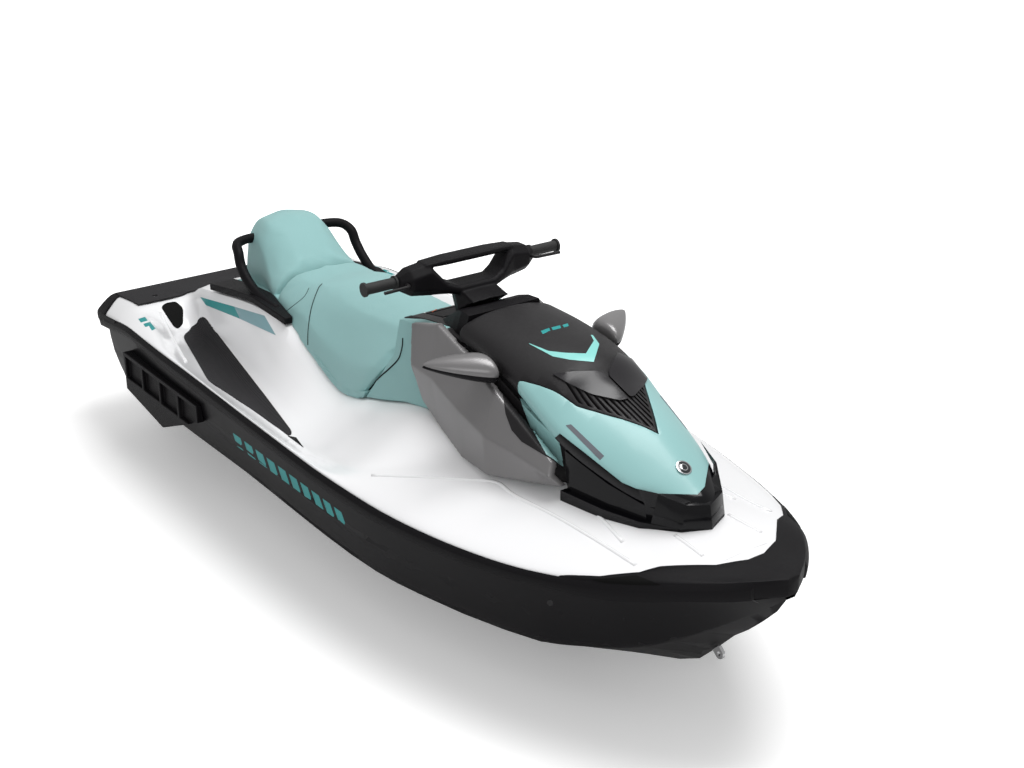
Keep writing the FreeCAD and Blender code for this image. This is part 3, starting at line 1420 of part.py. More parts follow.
# Ride plate under the pump and intake grate ahead of it
ride_land_share = 0.117
ride_half = tunnel_half * (1 + ride_land_share)
ride_top = shoe_level - gap
place("ride_rear", pump_front - size("ride_plate_length"))
place("ride_front", pump_front)
place("ride_side", ride_half)
place("shoe_seat", ride_top)
ride_body = new_body("ride_plate")
ride_outline = bound_outline(
    ride_body, "ride_outline", "XY_Plane", rectangle("ride_rear", "ride_front", "-ride_side", "ride_side"),
    "shoe_seat",
)
ride_pad = ride_body.newObject("PartDesign::Pad", "ride_pad")
ride_pad.Profile = ride_outline
ride_pad.Reversed = True
ride_pad.setExpression("Length", "Sizes.ride_plate_thickness")
sub_parts.append(ride_body)
frame = size("grate_frame_width")
grate_half = pump_bore_radius + frame
bar_count = int(size("grate_bar_count"))
bar_width = size("grate_bar_width")
slot_width = (2 * (grate_half - frame) - bar_count * bar_width) / (bar_count + 1)
place("grate_rear", pump_front + running_gap)
place("grate_front", along(intake_front_share) - frame * 2)
place("grate_side", grate_half)
grate_body = new_body("intake_grate")
grate_outline = bound_outline(
    grate_body, "grate_outline", "XY_Plane",
    rectangle("grate_rear", "grate_front", "-grate_side", "grate_side"), "shoe_seat",
)
grate_pad = grate_body.newObject("PartDesign::Pad", "grate_pad")
grate_pad.Profile = grate_outline
grate_pad.Reversed = True
grate_pad.setExpression("Length", "Sizes.grate_thickness")
place("slot_rear", along(intake_rear_share))
place("slot_front", along(intake_front_share) - frame * 3)
place("slot_low", frame - grate_half)
place("slot_high", frame - grate_half + slot_width)
place("slot_step", slot_width + bar_width)
slot_outline = bound_outline(
    grate_body, "slot_outline", "XY_Plane", rectangle("slot_rear", "slot_front", "slot_low", "slot_high"),
    "shoe_seat",
)
doc.recompute()
slot = grate_body.newObject("PartDesign::Pocket", "slot")
slot.Profile = slot_outline
slot.Type = "ThroughAll"
doc.recompute()
slots = grate_body.newObject("PartDesign::LinearPattern", "slots")
slots.Originals = [slot]
slots.Direction = (next(item for item in grate_body.Origin.OriginFeatures if item.Role == "Y_Axis"), [""])
slots.Mode = "Spacing"
slots.setExpression("Offset", "Places.slot_step")
slots.setExpression("Occurrences", "Sizes.grate_bar_count + 1")
grate_body.Tip = slots
sub_parts.append(grate_body)


# Towing eyes
def eye(centre, back, up):
    """A plate with a bore across the boat, on a foot that reaches back to the hull."""
    bore_radius = size("eye_bore") / 2
    wire = size("eye_wire")
    start = centre - Vector(0, wire / 2, 0)
    plate = Part.makeCylinder(bore_radius + wire, wire, start, across)
    corners = [centre + up * (bore_radius + wire), centre + up * (bore_radius + wire) + back,
               centre - up * (bore_radius + wire) + back, centre - up * (bore_radius + wire)]
    foot = Part.Face(Part.makePolygon(corners + [corners[0]]))
    foot.translate(Vector(0, -wire / 2, 0))
    foot = foot.extrude(Vector(0, wire, 0))
    return plate.fuse(foot).cut(Part.makeCylinder(bore_radius, wire * 2, centre - Vector(0, wire, 0), across))


bow_eye_share = 0.92
stem_z = level(keel_shares, bow_eye_share)
stem_step = 0.01
stem_rise = level(keel_shares, bow_eye_share + stem_step) - stem_z
stem_way = Vector(stem_step * length, 0, stem_rise).normalize()
stem_out = Vector(stem_way.z, 0, -stem_way.x)
eye_reach = size("eye_reach")
bow_eye_centre = Vector(along(bow_eye_share), 0, stem_z) + stem_out * (eye_reach / 2)
bow_eye = eye(bow_eye_centre, stem_out * -eye_reach, stem_way).cut(hull_solid)
feature("bow_eye", bow_eye)
stern_eye_breadth_share = 0.62
stern_eye_height_share = 0.68
stern_eye_centre = Vector(
    along(transom_share) - eye_reach / 2, stern_eye_breadth_share * half_beam,
    above_keel(stern_eye_height_share * rail_height),
)
stern_eye = eye(stern_eye_centre, Vector(eye_reach, 0, 0), Vector(0, 0, 1)).cut(hull_solid)
feature("stern_eyes", both_sides(stern_eye))

doc.recompute()
for item in sub_parts:
    shape = item.Shape
    bad = [state for state in item.State if state in ("Invalid", "Error")]
    if bad or shape.isNull() or not shape.isValid():
        raise RuntimeError("%s did not build" % item.Label)
for item in sub_parts:
    item.Shape.exportStep("parts/%s.step" % item.Label)
    print(item.Label, "volume", round(item.Shape.Volume / 1000), "solids", len(item.Shape.Solids))
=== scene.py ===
import bpy
import bmesh
import json
import math
from mathutils import Vector, Matrix


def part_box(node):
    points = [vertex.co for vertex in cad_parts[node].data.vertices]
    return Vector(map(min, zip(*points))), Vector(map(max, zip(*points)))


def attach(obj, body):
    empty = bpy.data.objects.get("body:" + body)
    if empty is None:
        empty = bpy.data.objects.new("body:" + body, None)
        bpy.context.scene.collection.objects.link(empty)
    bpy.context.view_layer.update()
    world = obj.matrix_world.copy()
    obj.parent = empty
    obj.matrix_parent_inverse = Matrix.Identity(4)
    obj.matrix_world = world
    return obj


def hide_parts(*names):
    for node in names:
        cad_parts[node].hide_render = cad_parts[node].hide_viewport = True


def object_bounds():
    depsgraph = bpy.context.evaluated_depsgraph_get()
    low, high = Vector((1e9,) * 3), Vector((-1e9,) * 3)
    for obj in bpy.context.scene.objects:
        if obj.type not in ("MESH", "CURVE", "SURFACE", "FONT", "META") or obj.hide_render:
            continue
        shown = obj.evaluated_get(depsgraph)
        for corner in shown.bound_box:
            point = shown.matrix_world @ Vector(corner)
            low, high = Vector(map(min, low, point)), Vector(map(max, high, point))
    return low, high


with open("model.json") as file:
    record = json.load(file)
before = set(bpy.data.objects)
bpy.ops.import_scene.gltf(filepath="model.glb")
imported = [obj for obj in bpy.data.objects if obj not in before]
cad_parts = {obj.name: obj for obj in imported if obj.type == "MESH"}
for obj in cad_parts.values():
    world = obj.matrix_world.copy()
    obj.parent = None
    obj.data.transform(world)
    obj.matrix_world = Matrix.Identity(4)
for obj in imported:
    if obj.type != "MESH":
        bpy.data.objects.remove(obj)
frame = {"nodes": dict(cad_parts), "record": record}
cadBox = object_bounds()
print("frame loaded")

# Camera, where the photograph was taken from
cameraSettings = {"eye": (4.0212, -2.6656, 2.3349), "target": (0.4127, 0.0, 0.4140), "lens": 53.66}


def makeCamera(settings):
    deselectAll()
    eye = Vector(settings["eye"])
    bpy.ops.object.camera_add(location=eye)
    camera = bpy.context.object
    camera.rotation_euler = (Vector(settings["target"]) - eye).to_track_quat("-Z", "Y").to_euler()
    camera.data.sensor_width = 36
    camera.data.lens = settings["lens"]
    camera.data.clip_end = 200
    bpy.context.scene.camera = camera


def deselectAll():
    active = bpy.context.view_layer.objects.active
    if active and active.mode != "OBJECT":
        bpy.ops.object.mode_set(mode="OBJECT")
    bpy.ops.object.select_all(action="DESELECT")


def makeActive(obj):
    deselectAll()
    obj.select_set(True)
    bpy.context.view_layer.objects.active = obj


def applyAll(obj):
    makeActive(obj)
    for name in [modifier.name for modifier in obj.modifiers]:
        bpy.ops.object.modifier_apply(modifier=name)


def placeInMesh(obj):  # the object goes back to the origin, its place stays in the mesh
    makeActive(obj)
    bpy.ops.object.transform_apply(location=True, rotation=True, scale=True)


def smoothByAngle(obj, degrees=30):
    makeActive(obj)
    bpy.ops.object.shade_smooth_by_angle(angle=math.radians(degrees))


def editAll(obj):
    makeActive(obj)
    bpy.ops.object.mode_set(mode="EDIT")
    bpy.ops.mesh.select_all(action="SELECT")


def newObject(name, data):
    obj = bpy.data.objects.new(name, data)
    bpy.context.scene.collection.objects.link(obj)
    return obj


def outward(obj):
    editAll(obj)
    bpy.ops.mesh.remove_doubles(threshold=0.00005)
    bpy.ops.mesh.normals_make_consistent(inside=False)
    bpy.ops.object.mode_set(mode="OBJECT")


def addModifier(obj, kind, **values):
    modifier = obj.modifiers.new(kind.title(), kind)
    for key, value in values.items():
        setattr(modifier, key, value)
    return modifier


def smoothed(obj, levels=2):
    addModifier(obj, "SUBSURF", levels=levels, render_levels=levels)
    applyAll(obj)
    makeActive(obj)
    bpy.ops.object.shade_smooth()


def dress(obj, material, body, slotName, *nodes):
    obj.data.materials.clear()
    obj.data.materials.append(material)
    if nodes:
        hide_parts(*nodes)
    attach(obj, body)


def copyOfNode(node, name, angle=30):  # the CAD piece's own form, merged and smoothed
    piece = newObject(name, frame["nodes"][node].data.copy())
    editAll(piece)
    bpy.ops.mesh.remove_doubles(threshold=0.00002)
    bpy.ops.mesh.dissolve_limited(angle_limit=math.radians(0.6))
    bpy.ops.object.mode_set(mode="OBJECT")
    smoothByAngle(piece, angle)
    return piece


makeCamera(cameraSettings)
print("camera placed")

# Materials: shared effects first, each a group with named inputs and outputs


def addNode(tree, kind, **values):
    node = tree.nodes.new(kind)
    for key, value in values.items():
        if key == "inputs":
            for name, amount in value.items():
                node.inputs[name].default_value = amount
        else:
            setattr(node, key, value)
    return node


def wire(tree, *links):  # each link: a node and its output, then a node and its input
    for first, output, last, entry in links:
        tree.links.new(first.outputs[output], last.inputs[entry])


def makeGroup(name, inputs, outputs):
    group = bpy.data.node_groups.new(name, "ShaderNodeTree")
    for title, kind, value in inputs:
        socket = group.interface.new_socket(title, in_out="INPUT", socket_type=kind)
        socket.default_value = value
    for title, kind in outputs:
        group.interface.new_socket(title, in_out="OUTPUT", socket_type=kind)
    start = group.nodes.new("NodeGroupInput")
    end = group.nodes.new("NodeGroupOutput")
    return group, start, end


def makeGrainGroup():  # fine moulded grain: a height that changes from pip to pip
    group, start, end = makeGroup(
        "mouldedGrain", [("Scale", "NodeSocketFloat", 900.0)], [("Height", "NodeSocketFloat")]
    )
    place = addNode(group, "ShaderNodeTexCoord")
    cells = addNode(group, "ShaderNodeTexVoronoi", feature="SMOOTH_F1")
    wire(
        group, (place, "Object", cells, "Vector"), (start, "Scale", cells, "Scale"),
        (cells, "Distance", end, "Height"),
    )
    return group


def makeMottleGroup():  # slow changes over a surface: two colours and a roughness that wander
    group, start, end = makeGroup(
        "surfaceMottle",
        [
            ("Light", "NodeSocketColor", (1, 1, 1, 1)), ("Dark", "NodeSocketColor", (0, 0, 0, 1)),
            ("Scale", "NodeSocketFloat", 3.0), ("Smooth", "NodeSocketFloat", 0.2),
            ("Rough", "NodeSocketFloat", 0.4),
        ],
        [("Color", "NodeSocketColor"), ("Roughness", "NodeSocketFloat")],
    )
    place = addNode(group, "ShaderNodeTexCoord")
    noise = addNode(group, "ShaderNodeTexNoise", inputs={"Detail": 6.0, "Roughness": 0.6})
    share = addNode(group, "ShaderNodeMapRange", inputs={"From Min": 0.3, "From Max": 0.7})
    tint = addNode(group, "ShaderNodeMix", data_type="RGBA")
    polish = addNode(group, "ShaderNodeMapRange")
    wire(
        group, (place, "Object", noise, "Vector"), (start, "Scale", noise, "Scale"),
        (noise, "Fac", share, "Value"), (share, "Result", tint, "Factor"), (start, "Light", tint, 6),
        (start, "Dark", tint, 7), (tint, 2, end, "Color"), (noise, "Fac", polish, "Value"),
        (start, "Smooth", polish, "To Min"), (start, "Rough", polish, "To Max"),
        (polish, "Result", end, "Roughness"),
    )
    return group


def makeLeatherGroup():  # vinyl grain: small rounded cells with creases between
    group, start, end = makeGroup(
        "vinylGrain", [("Scale", "NodeSocketFloat", 420.0)], [("Height", "NodeSocketFloat")]
    )
    place = addNode(group, "ShaderNodeTexCoord")
    warp = addNode(group, "ShaderNodeTexNoise", inputs={"Scale": 60.0, "Detail": 2.0})
    shift = addNode(group, "ShaderNodeVectorMath", operation="MULTIPLY_ADD")
    shift.inputs[1].default_value = (0.004, 0.004, 0.004)
    cells = addNode(group, "ShaderNodeTexVoronoi", feature="DISTANCE_TO_EDGE")
    soft = addNode(group, "ShaderNodeMapRange", interpolation_type="SMOOTHSTEP", inputs={"From Max": 0.35})
    wire(
        group, (place, "Object", warp, "Vector"), (warp, "Color", shift, 0), (place, "Object", shift, 2),
        (shift, "Vector", cells, "Vector"), (start, "Scale", cells, "Scale"),
        (cells, "Distance", soft, "Value"), (soft, "Result", end, "Height"),
    )
    return group


def makeGrooveGroup():  # parallel grooves in foam matting, at a slant
    group, start, end = makeGroup(
        "matGrooves",
        [("Pitch", "NodeSocketFloat", 60.0), ("Turn", "NodeSocketVector", (0, 0, 0.6))],
        [("Height", "NodeSocketFloat")],
    )
    place = addNode(group, "ShaderNodeTexCoord")
    turn = addNode(group, "ShaderNodeMapping")
    waves = addNode(
        group, "ShaderNodeTexWave", wave_type="BANDS", bands_direction="X", inputs={"Distortion": 0})
    wire(
        group, (place, "Object", turn, "Vector"), (start, "Turn", turn, "Rotation"),
        (turn, "Vector", waves, "Vector"), (start, "Pitch", waves, "Scale"), (waves, "Fac", end, "Height"),
    )
    return group


mottleGroup = makeMottleGroup()
grains = {"moulded": makeGrainGroup(), "vinyl": makeLeatherGroup(), "groove": makeGrooveGroup()}


def useGroup(tree, group, **values):
    node = tree.nodes.new("ShaderNodeGroup")
    node.node_tree = group
    for title, value in values.items():
        node.inputs[title].default_value = value
    return node


def shade(color, share):
    return (color[0] * share, color[1] * share, color[2] * share, 1)


def makeMaterial(name, settings):
    material = bpy.data.materials.new(name)
    material.use_nodes = True
    tree = material.node_tree
    shader = tree.nodes["Principled BSDF"]
    color = settings["color"]
    for title, value in settings.get("sockets", {}).items():
        shader.inputs[title].default_value = value
    mottle = useGroup(
        tree, mottleGroup, Light=shade(color, 1), Dark=shade(color, settings.get("dark", 0.94)),
        Scale=settings.get("mottle", 2.5), Smooth=settings["roughness"][0],
        Rough=settings["roughness"][1],
    )
    wire(tree, (mottle, "Color", shader, "Base Color"), (mottle, "Roughness", shader, "Roughness"))
    if "grain" in settings:
        kind, scale, depth = settings["grain"]
        title = "Pitch" if kind == "groove" else "Scale"
        grain = useGroup(tree, grains[kind], **{title: scale})
        bump = addNode(tree, "ShaderNodeBump", inputs={"Strength": 1.0, "Distance": depth})
        wire(tree, (grain, "Height", bump, "Height"), (bump, "Normal", shader, "Normal"))
    return material


finishes = {
    "gelWhite": {
        "color": (0.86, 0.86, 0.87), "dark": 0.99, "roughness": (0.2, 0.28),
        "sockets": {"Coat Weight": 0.35, "Coat Roughness": 0.06},
    },
    "hullBlack": {
        "color": (0.0045, 0.004, 0.005), "roughness": (0.34, 0.46),
        "sockets": {"Specular IOR Level": 0.12},
    },
    "grainBlack": {
        "color": (0.005, 0.0045, 0.0055), "roughness": (0.42, 0.55), "grain": ("moulded", 1400.0, 0.0003),
        "sockets": {"Specular IOR Level": 0.11},
    },
    "satinBlack": {
        "color": (0.015, 0.014, 0.015), "roughness": (0.34, 0.46), "grain": ("moulded", 1800.0, 0.0002),
        "sockets": {"Specular IOR Level": 0.2},
    },
    "glossBlack": {
        "color": (0.003, 0.003, 0.004), "roughness": (0.1, 0.2),
        "sockets": {"Specular IOR Level": 0.2, "Coat Weight": 0.12, "Coat Roughness": 0.05},
    },
    "paleGloss": {
        "color": (0.275, 0.5, 0.495), "dark": 0.97, "roughness": (0.32, 0.42),
        "sockets": {"Specular IOR Level": 0.35, "Coat Weight": 0.1, "Coat Roughness": 0.1},
    },
    "paleVinyl": {
        "color": (0.295, 0.535, 0.53), "dark": 0.96, "roughness": (0.42, 0.55), "grain": ("vinyl", 520.0, 0.0006),
        "sockets": {"Sheen Weight": 0.08, "Sheen Roughness": 0.5},
    },
    # painted shade: a darker copy of the seat vinyl for the sides, as if less light fell on them
    "shadedSideVinyl": {
        "color": (0.285, 0.52, 0.515), "dark": 0.96, "roughness": (0.42, 0.55), "grain": ("vinyl", 520.0, 0.0006),
    },
    "silverGrey": {
        "color": (0.19, 0.185, 0.187), "roughness": (0.28, 0.38), "sockets": {"Metallic": 0.35, "Coat Weight": 0.2},
    },
    "plateBlack": {
        "color": (0.016, 0.015, 0.017), "roughness": (0.18, 0.26), "sockets": {"Specular IOR Level": 0.35},
    },
    # painted shade: a flat, nearly lightless black laid over a surface where a recess lies in shadow
    "paintedRecessShade": {
        "color": (0.002, 0.002, 0.002), "roughness": (0.6, 0.7), "sockets": {"Specular IOR Level": 0.1},
    },
    "tealMark": {"color": (0.0, 0.27, 0.27), "roughness": (0.35, 0.45)},
    "paleMark": {"color": (0.22, 0.39, 0.43), "roughness": (0.35, 0.45)},
    "lightMark": {"color": (0.22, 0.60, 0.56), "roughness": (0.3, 0.4)},
    "orangeMark": {"color": (0.45, 0.09, 0.03), "roughness": (0.4, 0.5)},
    "greyMark": {"color": (0.13, 0.14, 0.16), "roughness": (0.4, 0.5)},
    "mirrorGlass": {"color": (0.75, 0.77, 0.78), "roughness": (0.03, 0.05), "sockets": {"Metallic": 1.0}},
    "darkScreen": {"color": (0.01, 0.012, 0.014), "roughness": (0.06, 0.1), "sockets": {"Coat Weight": 0.5}},
    "matFoam": {"color": (0.008, 0.007, 0.009), "roughness": (0.7, 0.85), "grain": ("groove", 34.0, 0.0015)},
    "castMetal": {
        "color": (0.42, 0.43, 0.44), "roughness": (0.35, 0.55), "mottle": 12.0,
        "grain": ("moulded", 700.0, 0.0005), "sockets": {"Metallic": 0.9},
    },
    "steel": {
        "color": (0.62, 0.62, 0.63), "roughness": (0.16, 0.3), "mottle": 30.0, "sockets": {"Metallic": 1.0},
    },
    "gripRubber": {"color": (0.012, 0.012, 0.012), "roughness": (0.6, 0.8), "grain": ("moulded", 900.0, 0.0006)},
    "binGrey": {"color": (0.06, 0.06, 0.065), "roughness": (0.5, 0.65), "grain": ("moulded", 1000.0, 0.0004)},
}
materials = {name: makeMaterial(name, settings) for name, settings in finishes.items()}

slotFinishes = {
    "hull_black": "hullBlack", "deck_white": "gelWhite", "trim_black": "grainBlack",
    "gloss_black": "glossBlack", "hood_black": "satinBlack", "hood_pale": "paleGloss",
    # the knee pads take the darker copy of the seat vinyl, which is painted shade
    "seat_vinyl": "paleVinyl", "knee_vinyl": "shadedSideVinyl", "mat_grey": "matFoam",
    "handle_black": "grainBlack", "bin_grey": "binGrey", "panel_silver": "silverGrey",
    "mirror_grey": "silverGrey", "engine_metal": "castMetal", "pump_metal": "castMetal",
    "impeller_steel": "steel", "bar_steel": "satinBlack", "grip_rubber": "gripRubber",
    "lever_metal": "satinBlack", "eye_steel": "steel",
}
for entry in frame["record"]["subparts"]:
    node = frame["nodes"][entry["node"]]
    node.data.materials.clear()
    node.data.materials.append(materials[slotFinishes[entry["material_slot"]]])
print("materials made")

slots = {entry["node"]: entry["material_slot"] for entry in frame["record"]["subparts"]}
bodies = frame["record"]["behaviour"]["bodies"]
bodyOf = {node: body for body, nodes in bodies.items() for node in nodes}

# The boat's own measures, read off the frame
boat = {
    "rear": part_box("deck")[0][0], "front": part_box("bow_cap")[1][0],
    "halfBeam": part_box("rub_rails")[1][1], "keel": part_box("hull")[0][2], "rail": 0.51,
    "railWidth": 0.014, "hood": 0.955, "console": 0.925, "seat": 0.93,
}


def along(share):
    return boat["rear"] + share * (boat["front"] - boat["rear"])


def height(share, measure="rail"):
    return boat["keel"] + share * boat[measure]


def eased(table, at, column=1):  # a smooth curve through a table's rows, without overshoot
    places = [row[0] for row in table]
    values = [row[column] for row in table]
    if at <= places[0]:
        return values[0]
    if at >= places[-1]:
        return values[-1]
    steps = [(values[k + 1] - values[k]) / (places[k + 1] - places[k]) for k in range(len(table) - 1)]
    slopes = [steps[0]]
    for before, after in zip(steps, steps[1:]):
        slopes.append(0 if before * after <= 0 else 2 * before * after / (before + after))
    slopes.append(steps[-1])
    k = max(index for index, place in enumerate(places[:-1]) if place <= at)
    gap = places[k + 1] - places[k]
    part = (at - places[k]) / gap
    left = values[k] * (1 + 2 * part) + slopes[k] * gap * part
    right = values[k + 1] * (3 - 2 * part) - slopes[k + 1] * gap * (1 - part)
    return left * (1 - part) ** 2 + right * part ** 2


def spread(first, last, count):
    return [first + (last - first) * k / (count - 1) for k in range(count)]


def softened(points, reach):  # each corner gives way to two points, so the skin rounds it
    line = [points[0]]
    for before, corner, after, size in zip(points, points[1:], points[2:], reach):
        for other in (before, after):
            way = other - corner
            line.append(corner + way.normalized() * min(size, way.length * 0.42))
    return line + [points[-1]]


def gridSkin(name, sections):  # a grid whose rows lie on the given sections
    rows, columns = len(sections), len(sections[0])
    deselectAll()
    bpy.ops.mesh.primitive_grid_add(x_subdivisions=columns - 1, y_subdivisions=rows - 1, size=1)
    skin = bpy.context.object
    skin.name = name
    for number, vertex in enumerate(skin.data.vertices):
        vertex.co = sections[number // columns][number % columns]
    return skin


def otherSide(points):
    return [Vector((p.x, -p.y, p.z)) for p in reversed(points)]


def facing(obj, way):  # turns an open skin so that its faces look the given way
    total = sum((polygon.normal * polygon.area for polygon in obj.data.polygons), Vector())
    if total.dot(Vector(way)) < 0:
        editAll(obj)
        bpy.ops.mesh.flip_normals()
        bpy.ops.object.mode_set(mode="OBJECT")


def boxTool(low, high):
    deselectAll()
    middle = (Vector(low) + Vector(high)) / 2
    bpy.ops.mesh.primitive_cube_add(size=1, location=middle)
    tool = bpy.context.object
    tool.scale = Vector(high) - Vector(low)
    placeInMesh(tool)
    return tool


def prism(name, first, last):  # a closed form between two outlines with as many corners
    count = len(first)
    faces = [list(range(count))[::-1], list(range(count, 2 * count))]
    faces += [[k, (k + 1) % count, (k + 1) % count + count, k + count] for k in range(count)]
    mesh = bpy.data.meshes.new(name)
    mesh.from_pydata([tuple(point) for point in list(first) + list(last)], [], faces)
    tool = newObject(name, mesh)
    outward(tool)
    return tool


def planTool(outline, low, high):  # an upright prism over a plan outline of (x, y) points
    return prism("planTool", *[[(x, y, level) for x, y in outline] for level in (low, high)])


def carve(obj, tools, operation="DIFFERENCE"):
    for tool in tools:
        modifier = addModifier(obj, "BOOLEAN", operation=operation, object=tool, solver="EXACT")
        makeActive(obj)
        bpy.ops.object.modifier_apply(modifier=modifier.name)
    return obj


def dropTools(tools):
    for tool in tools:
        bpy.data.objects.remove(tool, do_unlink=True)


def duplicate(obj, name):
    return newObject(name, obj.data.copy())


def softEdges(obj, width, angle=35, segments=2):
    addModifier(
        obj, "BEVEL", width=width, segments=segments, limit_method="ANGLE",
        angle_limit=math.radians(angle), harden_normals=False,
    )
    applyAll(obj)
    smoothByAngle(obj, angle)


def mirrorAcross(obj):
    addModifier(obj, "MIRROR", use_axis=(False, True, False), use_mirror_merge=False)
    applyAll(obj)
    outward(obj)


def fillHoles(obj):
    editAll(obj)
    bpy.ops.mesh.remove_doubles(threshold=0.0002)
    bpy.ops.mesh.fill_holes(sides=0)
    bpy.ops.mesh.select_all(action="SELECT")
    bpy.ops.mesh.normals_make_consistent(inside=False)
    bpy.ops.object.mode_set(mode="OBJECT")
    return obj


picture = {"width": 1024, "height": 768}


def pictureWay(u, v):  # the camera's way through one point of its picture, one metre deep
    camera = bpy.context.scene.camera
    scale = camera.data.sensor_width / camera.data.lens / picture["width"]
    side, up = u - picture["width"] / 2, picture["height"] / 2 - v
    return camera.rotation_euler.to_matrix() @ Vector((side * scale, up * scale, -1))


def seen(pieces, u, v):  # the nearest place on some pieces at one point of the picture
    eye = bpy.context.scene.camera.location
    hits = [piece.ray_cast(eye, pictureWay(u, v).normalized(), distance=20) for piece in pieces]
    places = [hit[1] for hit in hits if hit[0]]
    return min(places, key=lambda place: (place - eye).length) if places else None


def roundedOutline(points, radius, steps=4):  # each corner of a closed outline gives way to an arc
    run = []
    count = len(points)
    for k in range(count):
        before, corner, after = (Vector(points[(k + shift) % count]) for shift in (-1, 0, 1))
        first, last = before - corner, after - corner
        first = corner + first.normalized() * min(radius, first.length * 0.45)
        last = corner + last.normalized() * min(radius, last.length * 0.45)
        for step in range(steps + 1):
            part = step / steps
            run.append(first * (1 - part) ** 2 + corner * (2 * part * (1 - part)) + last * part ** 2)
    return run


def pictureTool(outline, near, far):  # what lies behind an outline in the picture, between two depths
    eye = bpy.context.scene.camera.location
    rows = [[eye + pictureWay(u, v) * depth for u, v in outline] for depth in (near, far)]
    return prism("pictureTool", rows[0], rows[1])


def depthOf(place):
    camera = bpy.context.scene.camera
    return -(camera.rotation_euler.to_matrix().inverted() @ (place - camera.location)).z


# a thin raised copy of the part of a surface that lies inside an outline of the picture
def patch(name, source, settings):
    outline = settings["outline"]
    if settings.get("round"):
        outline = roundedOutline(outline, settings["round"])
    middle = [sum(point[axis] for point in outline) / len(outline) for axis in (0, 1)]
    depth = depthOf(seen([source], *settings.get("middle", middle)))
    reach = settings.get("reach", 0.15)
    tool = pictureTool(outline, depth - reach, depth + reach)
    piece = carve(duplicate(source, name), [tool], "INTERSECT")
    dropTools([tool])
    if not piece.data.polygons:
        print("nothing of", name)
    if settings.get("lift"):
        addModifier(piece, "DISPLACE", strength=settings["lift"], mid_level=0)
        applyAll(piece)
    for vertex in piece.data.vertices:
        vertex.co.z += settings.get("rise", 0)
    if settings.get("mirror", True):
        addModifier(piece, "MIRROR", use_axis=(False, True, False), use_mirror_merge=False)
        applyAll(piece)
    smoothByAngle(piece, settings.get("angle", 35))
    return piece


def lineOn(name, pieces, points, radius, sink=0.0):  # cords laid over pieces along picture points
    places = [seen(pieces, *point) for point in curved([Vector(point) for point in points], 5)]
    places = [place for place in places if place]
    way = (bpy.context.scene.camera.location - places[0]).normalized()
    cord = pipeAlong(name, [place - way * sink for place in places], radius)
    mirrorAcross(cord)
    bpy.ops.object.shade_smooth()
    return cord


def melt(piece, voxel, rounds):  # an even mesh whose edges run together
    addModifier(piece, "REMESH", mode="VOXEL", voxel_size=voxel)
    addModifier(piece, "SMOOTH", factor=0.6, iterations=rounds)
    applyAll(piece)


def roundedForm(piece, voxel, rounds):
    melt(piece, voxel, rounds)
    makeActive(piece)
    bpy.ops.object.shade_smooth()


def pipeAlong(name, points, radius):  # a round cord of constant width along points
    deselectAll()
    data = bpy.data.curves.new(name, "CURVE")
    data.dimensions = "3D"
    data.bevel_depth = radius
    data.bevel_resolution = 2
    data.use_fill_caps = True
    run = data.splines.new("POLY")
    run.points.add(len(points) - 1)
    for knot, point in zip(run.points, points):
        knot.co = (point[0], point[1], point[2], 1)
    cord = newObject(name, data)
    makeActive(cord)
    bpy.ops.object.convert(target="MESH")
    cord = bpy.context.object
    outward(cord)
    bpy.ops.object.shade_smooth()
    return cord


def curved(points, steps=6):  # a smooth run through points
    run = []
    ends = [points[0] * 2 - points[1]] + list(points) + [points[-1] * 2 - points[-2]]
    for a, b, c, d in zip(ends, ends[1:], ends[2:], ends[3:]):
        for k in range(steps):
            t = k / steps
            run.append(((b * 2) + (c - a) * t + (a * 2 - b * 5 + c * 4 - d) * t * t
                        + (b * 3 - a - c * 3 + d) * t * t * t) / 2)
    return run + [points[-1]]


def joined(name, pieces):
    makeActive(pieces[0])
    for piece in pieces:
        piece.select_set(True)
    bpy.ops.object.join()
    pieces[0].name = name
    return pieces[0]


# Lines of the boat: shares of the length, then of the half beam and of the rail height
beamShares = [
    (0, 0.92), (0.09, 0.96), (0.241, 0.992), (0.422, 1), (0.542, 0.992), (0.633, 0.96),
    (0.723, 0.888), (0.813, 0.764), (0.873, 0.632), (0.934, 0.436), (0.97, 0.264), (0.991, 0.125),
    (1, 0.04),
]
railTopShares = [
    (0, 0.90), (0.036, 0.93), (0.127, 1.006), (0.265, 1.01), (0.434, 0.99), (0.572, 0.957),
    (0.693, 0.935), (0.783, 0.947), (0.861, 0.988), (0.901, 1.03), (0.94, 1.08), (0.979, 1.12),
    (1, 1.14),
]
seamShares = [
    (0, 0.79), (0.06, 0.86), (0.127, 0.918), (0.434, 0.902), (0.572, 0.869), (0.693, 0.847),
    (0.783, 0.863), (0.843, 0.892), (0.889, 0.908), (0.925, 0.951), (0.947, 0.988),
    (0.979, 1.014), (1, 1.04),
]
keelShares = [
    (0, 0), (0.663, 0), (0.753, 0.035), (0.828, 0.118), (0.875, 0.214), (0.905, 0.329),
    (0.932, 0.541), (0.959, 0.7), (0.984, 0.88), (1, 1),
]
chineShares = [
    (0, 0.816), (0.09, 0.864), (0.241, 0.896), (0.422, 0.904), (0.542, 0.896), (0.633, 0.864),
    (0.723, 0.768), (0.783, 0.672), (0.828, 0.584), (0.873, 0.456), (0.904, 0.352),
    (0.934, 0.224), (0.958, 0.128), (0.984, 0.056), (1, 0.02),
]
chineLevelShares = [
    (0, 0.392), (0.271, 0.441), (0.392, 0.461), (0.542, 0.435), (0.633, 0.416), (0.753, 0.416),
    (0.813, 0.424), (0.858, 0.48), (0.889, 0.529), (0.919, 0.618), (0.94, 0.706), (0.964, 0.824),
    (0.984, 0.931), (1, 1.02),
]
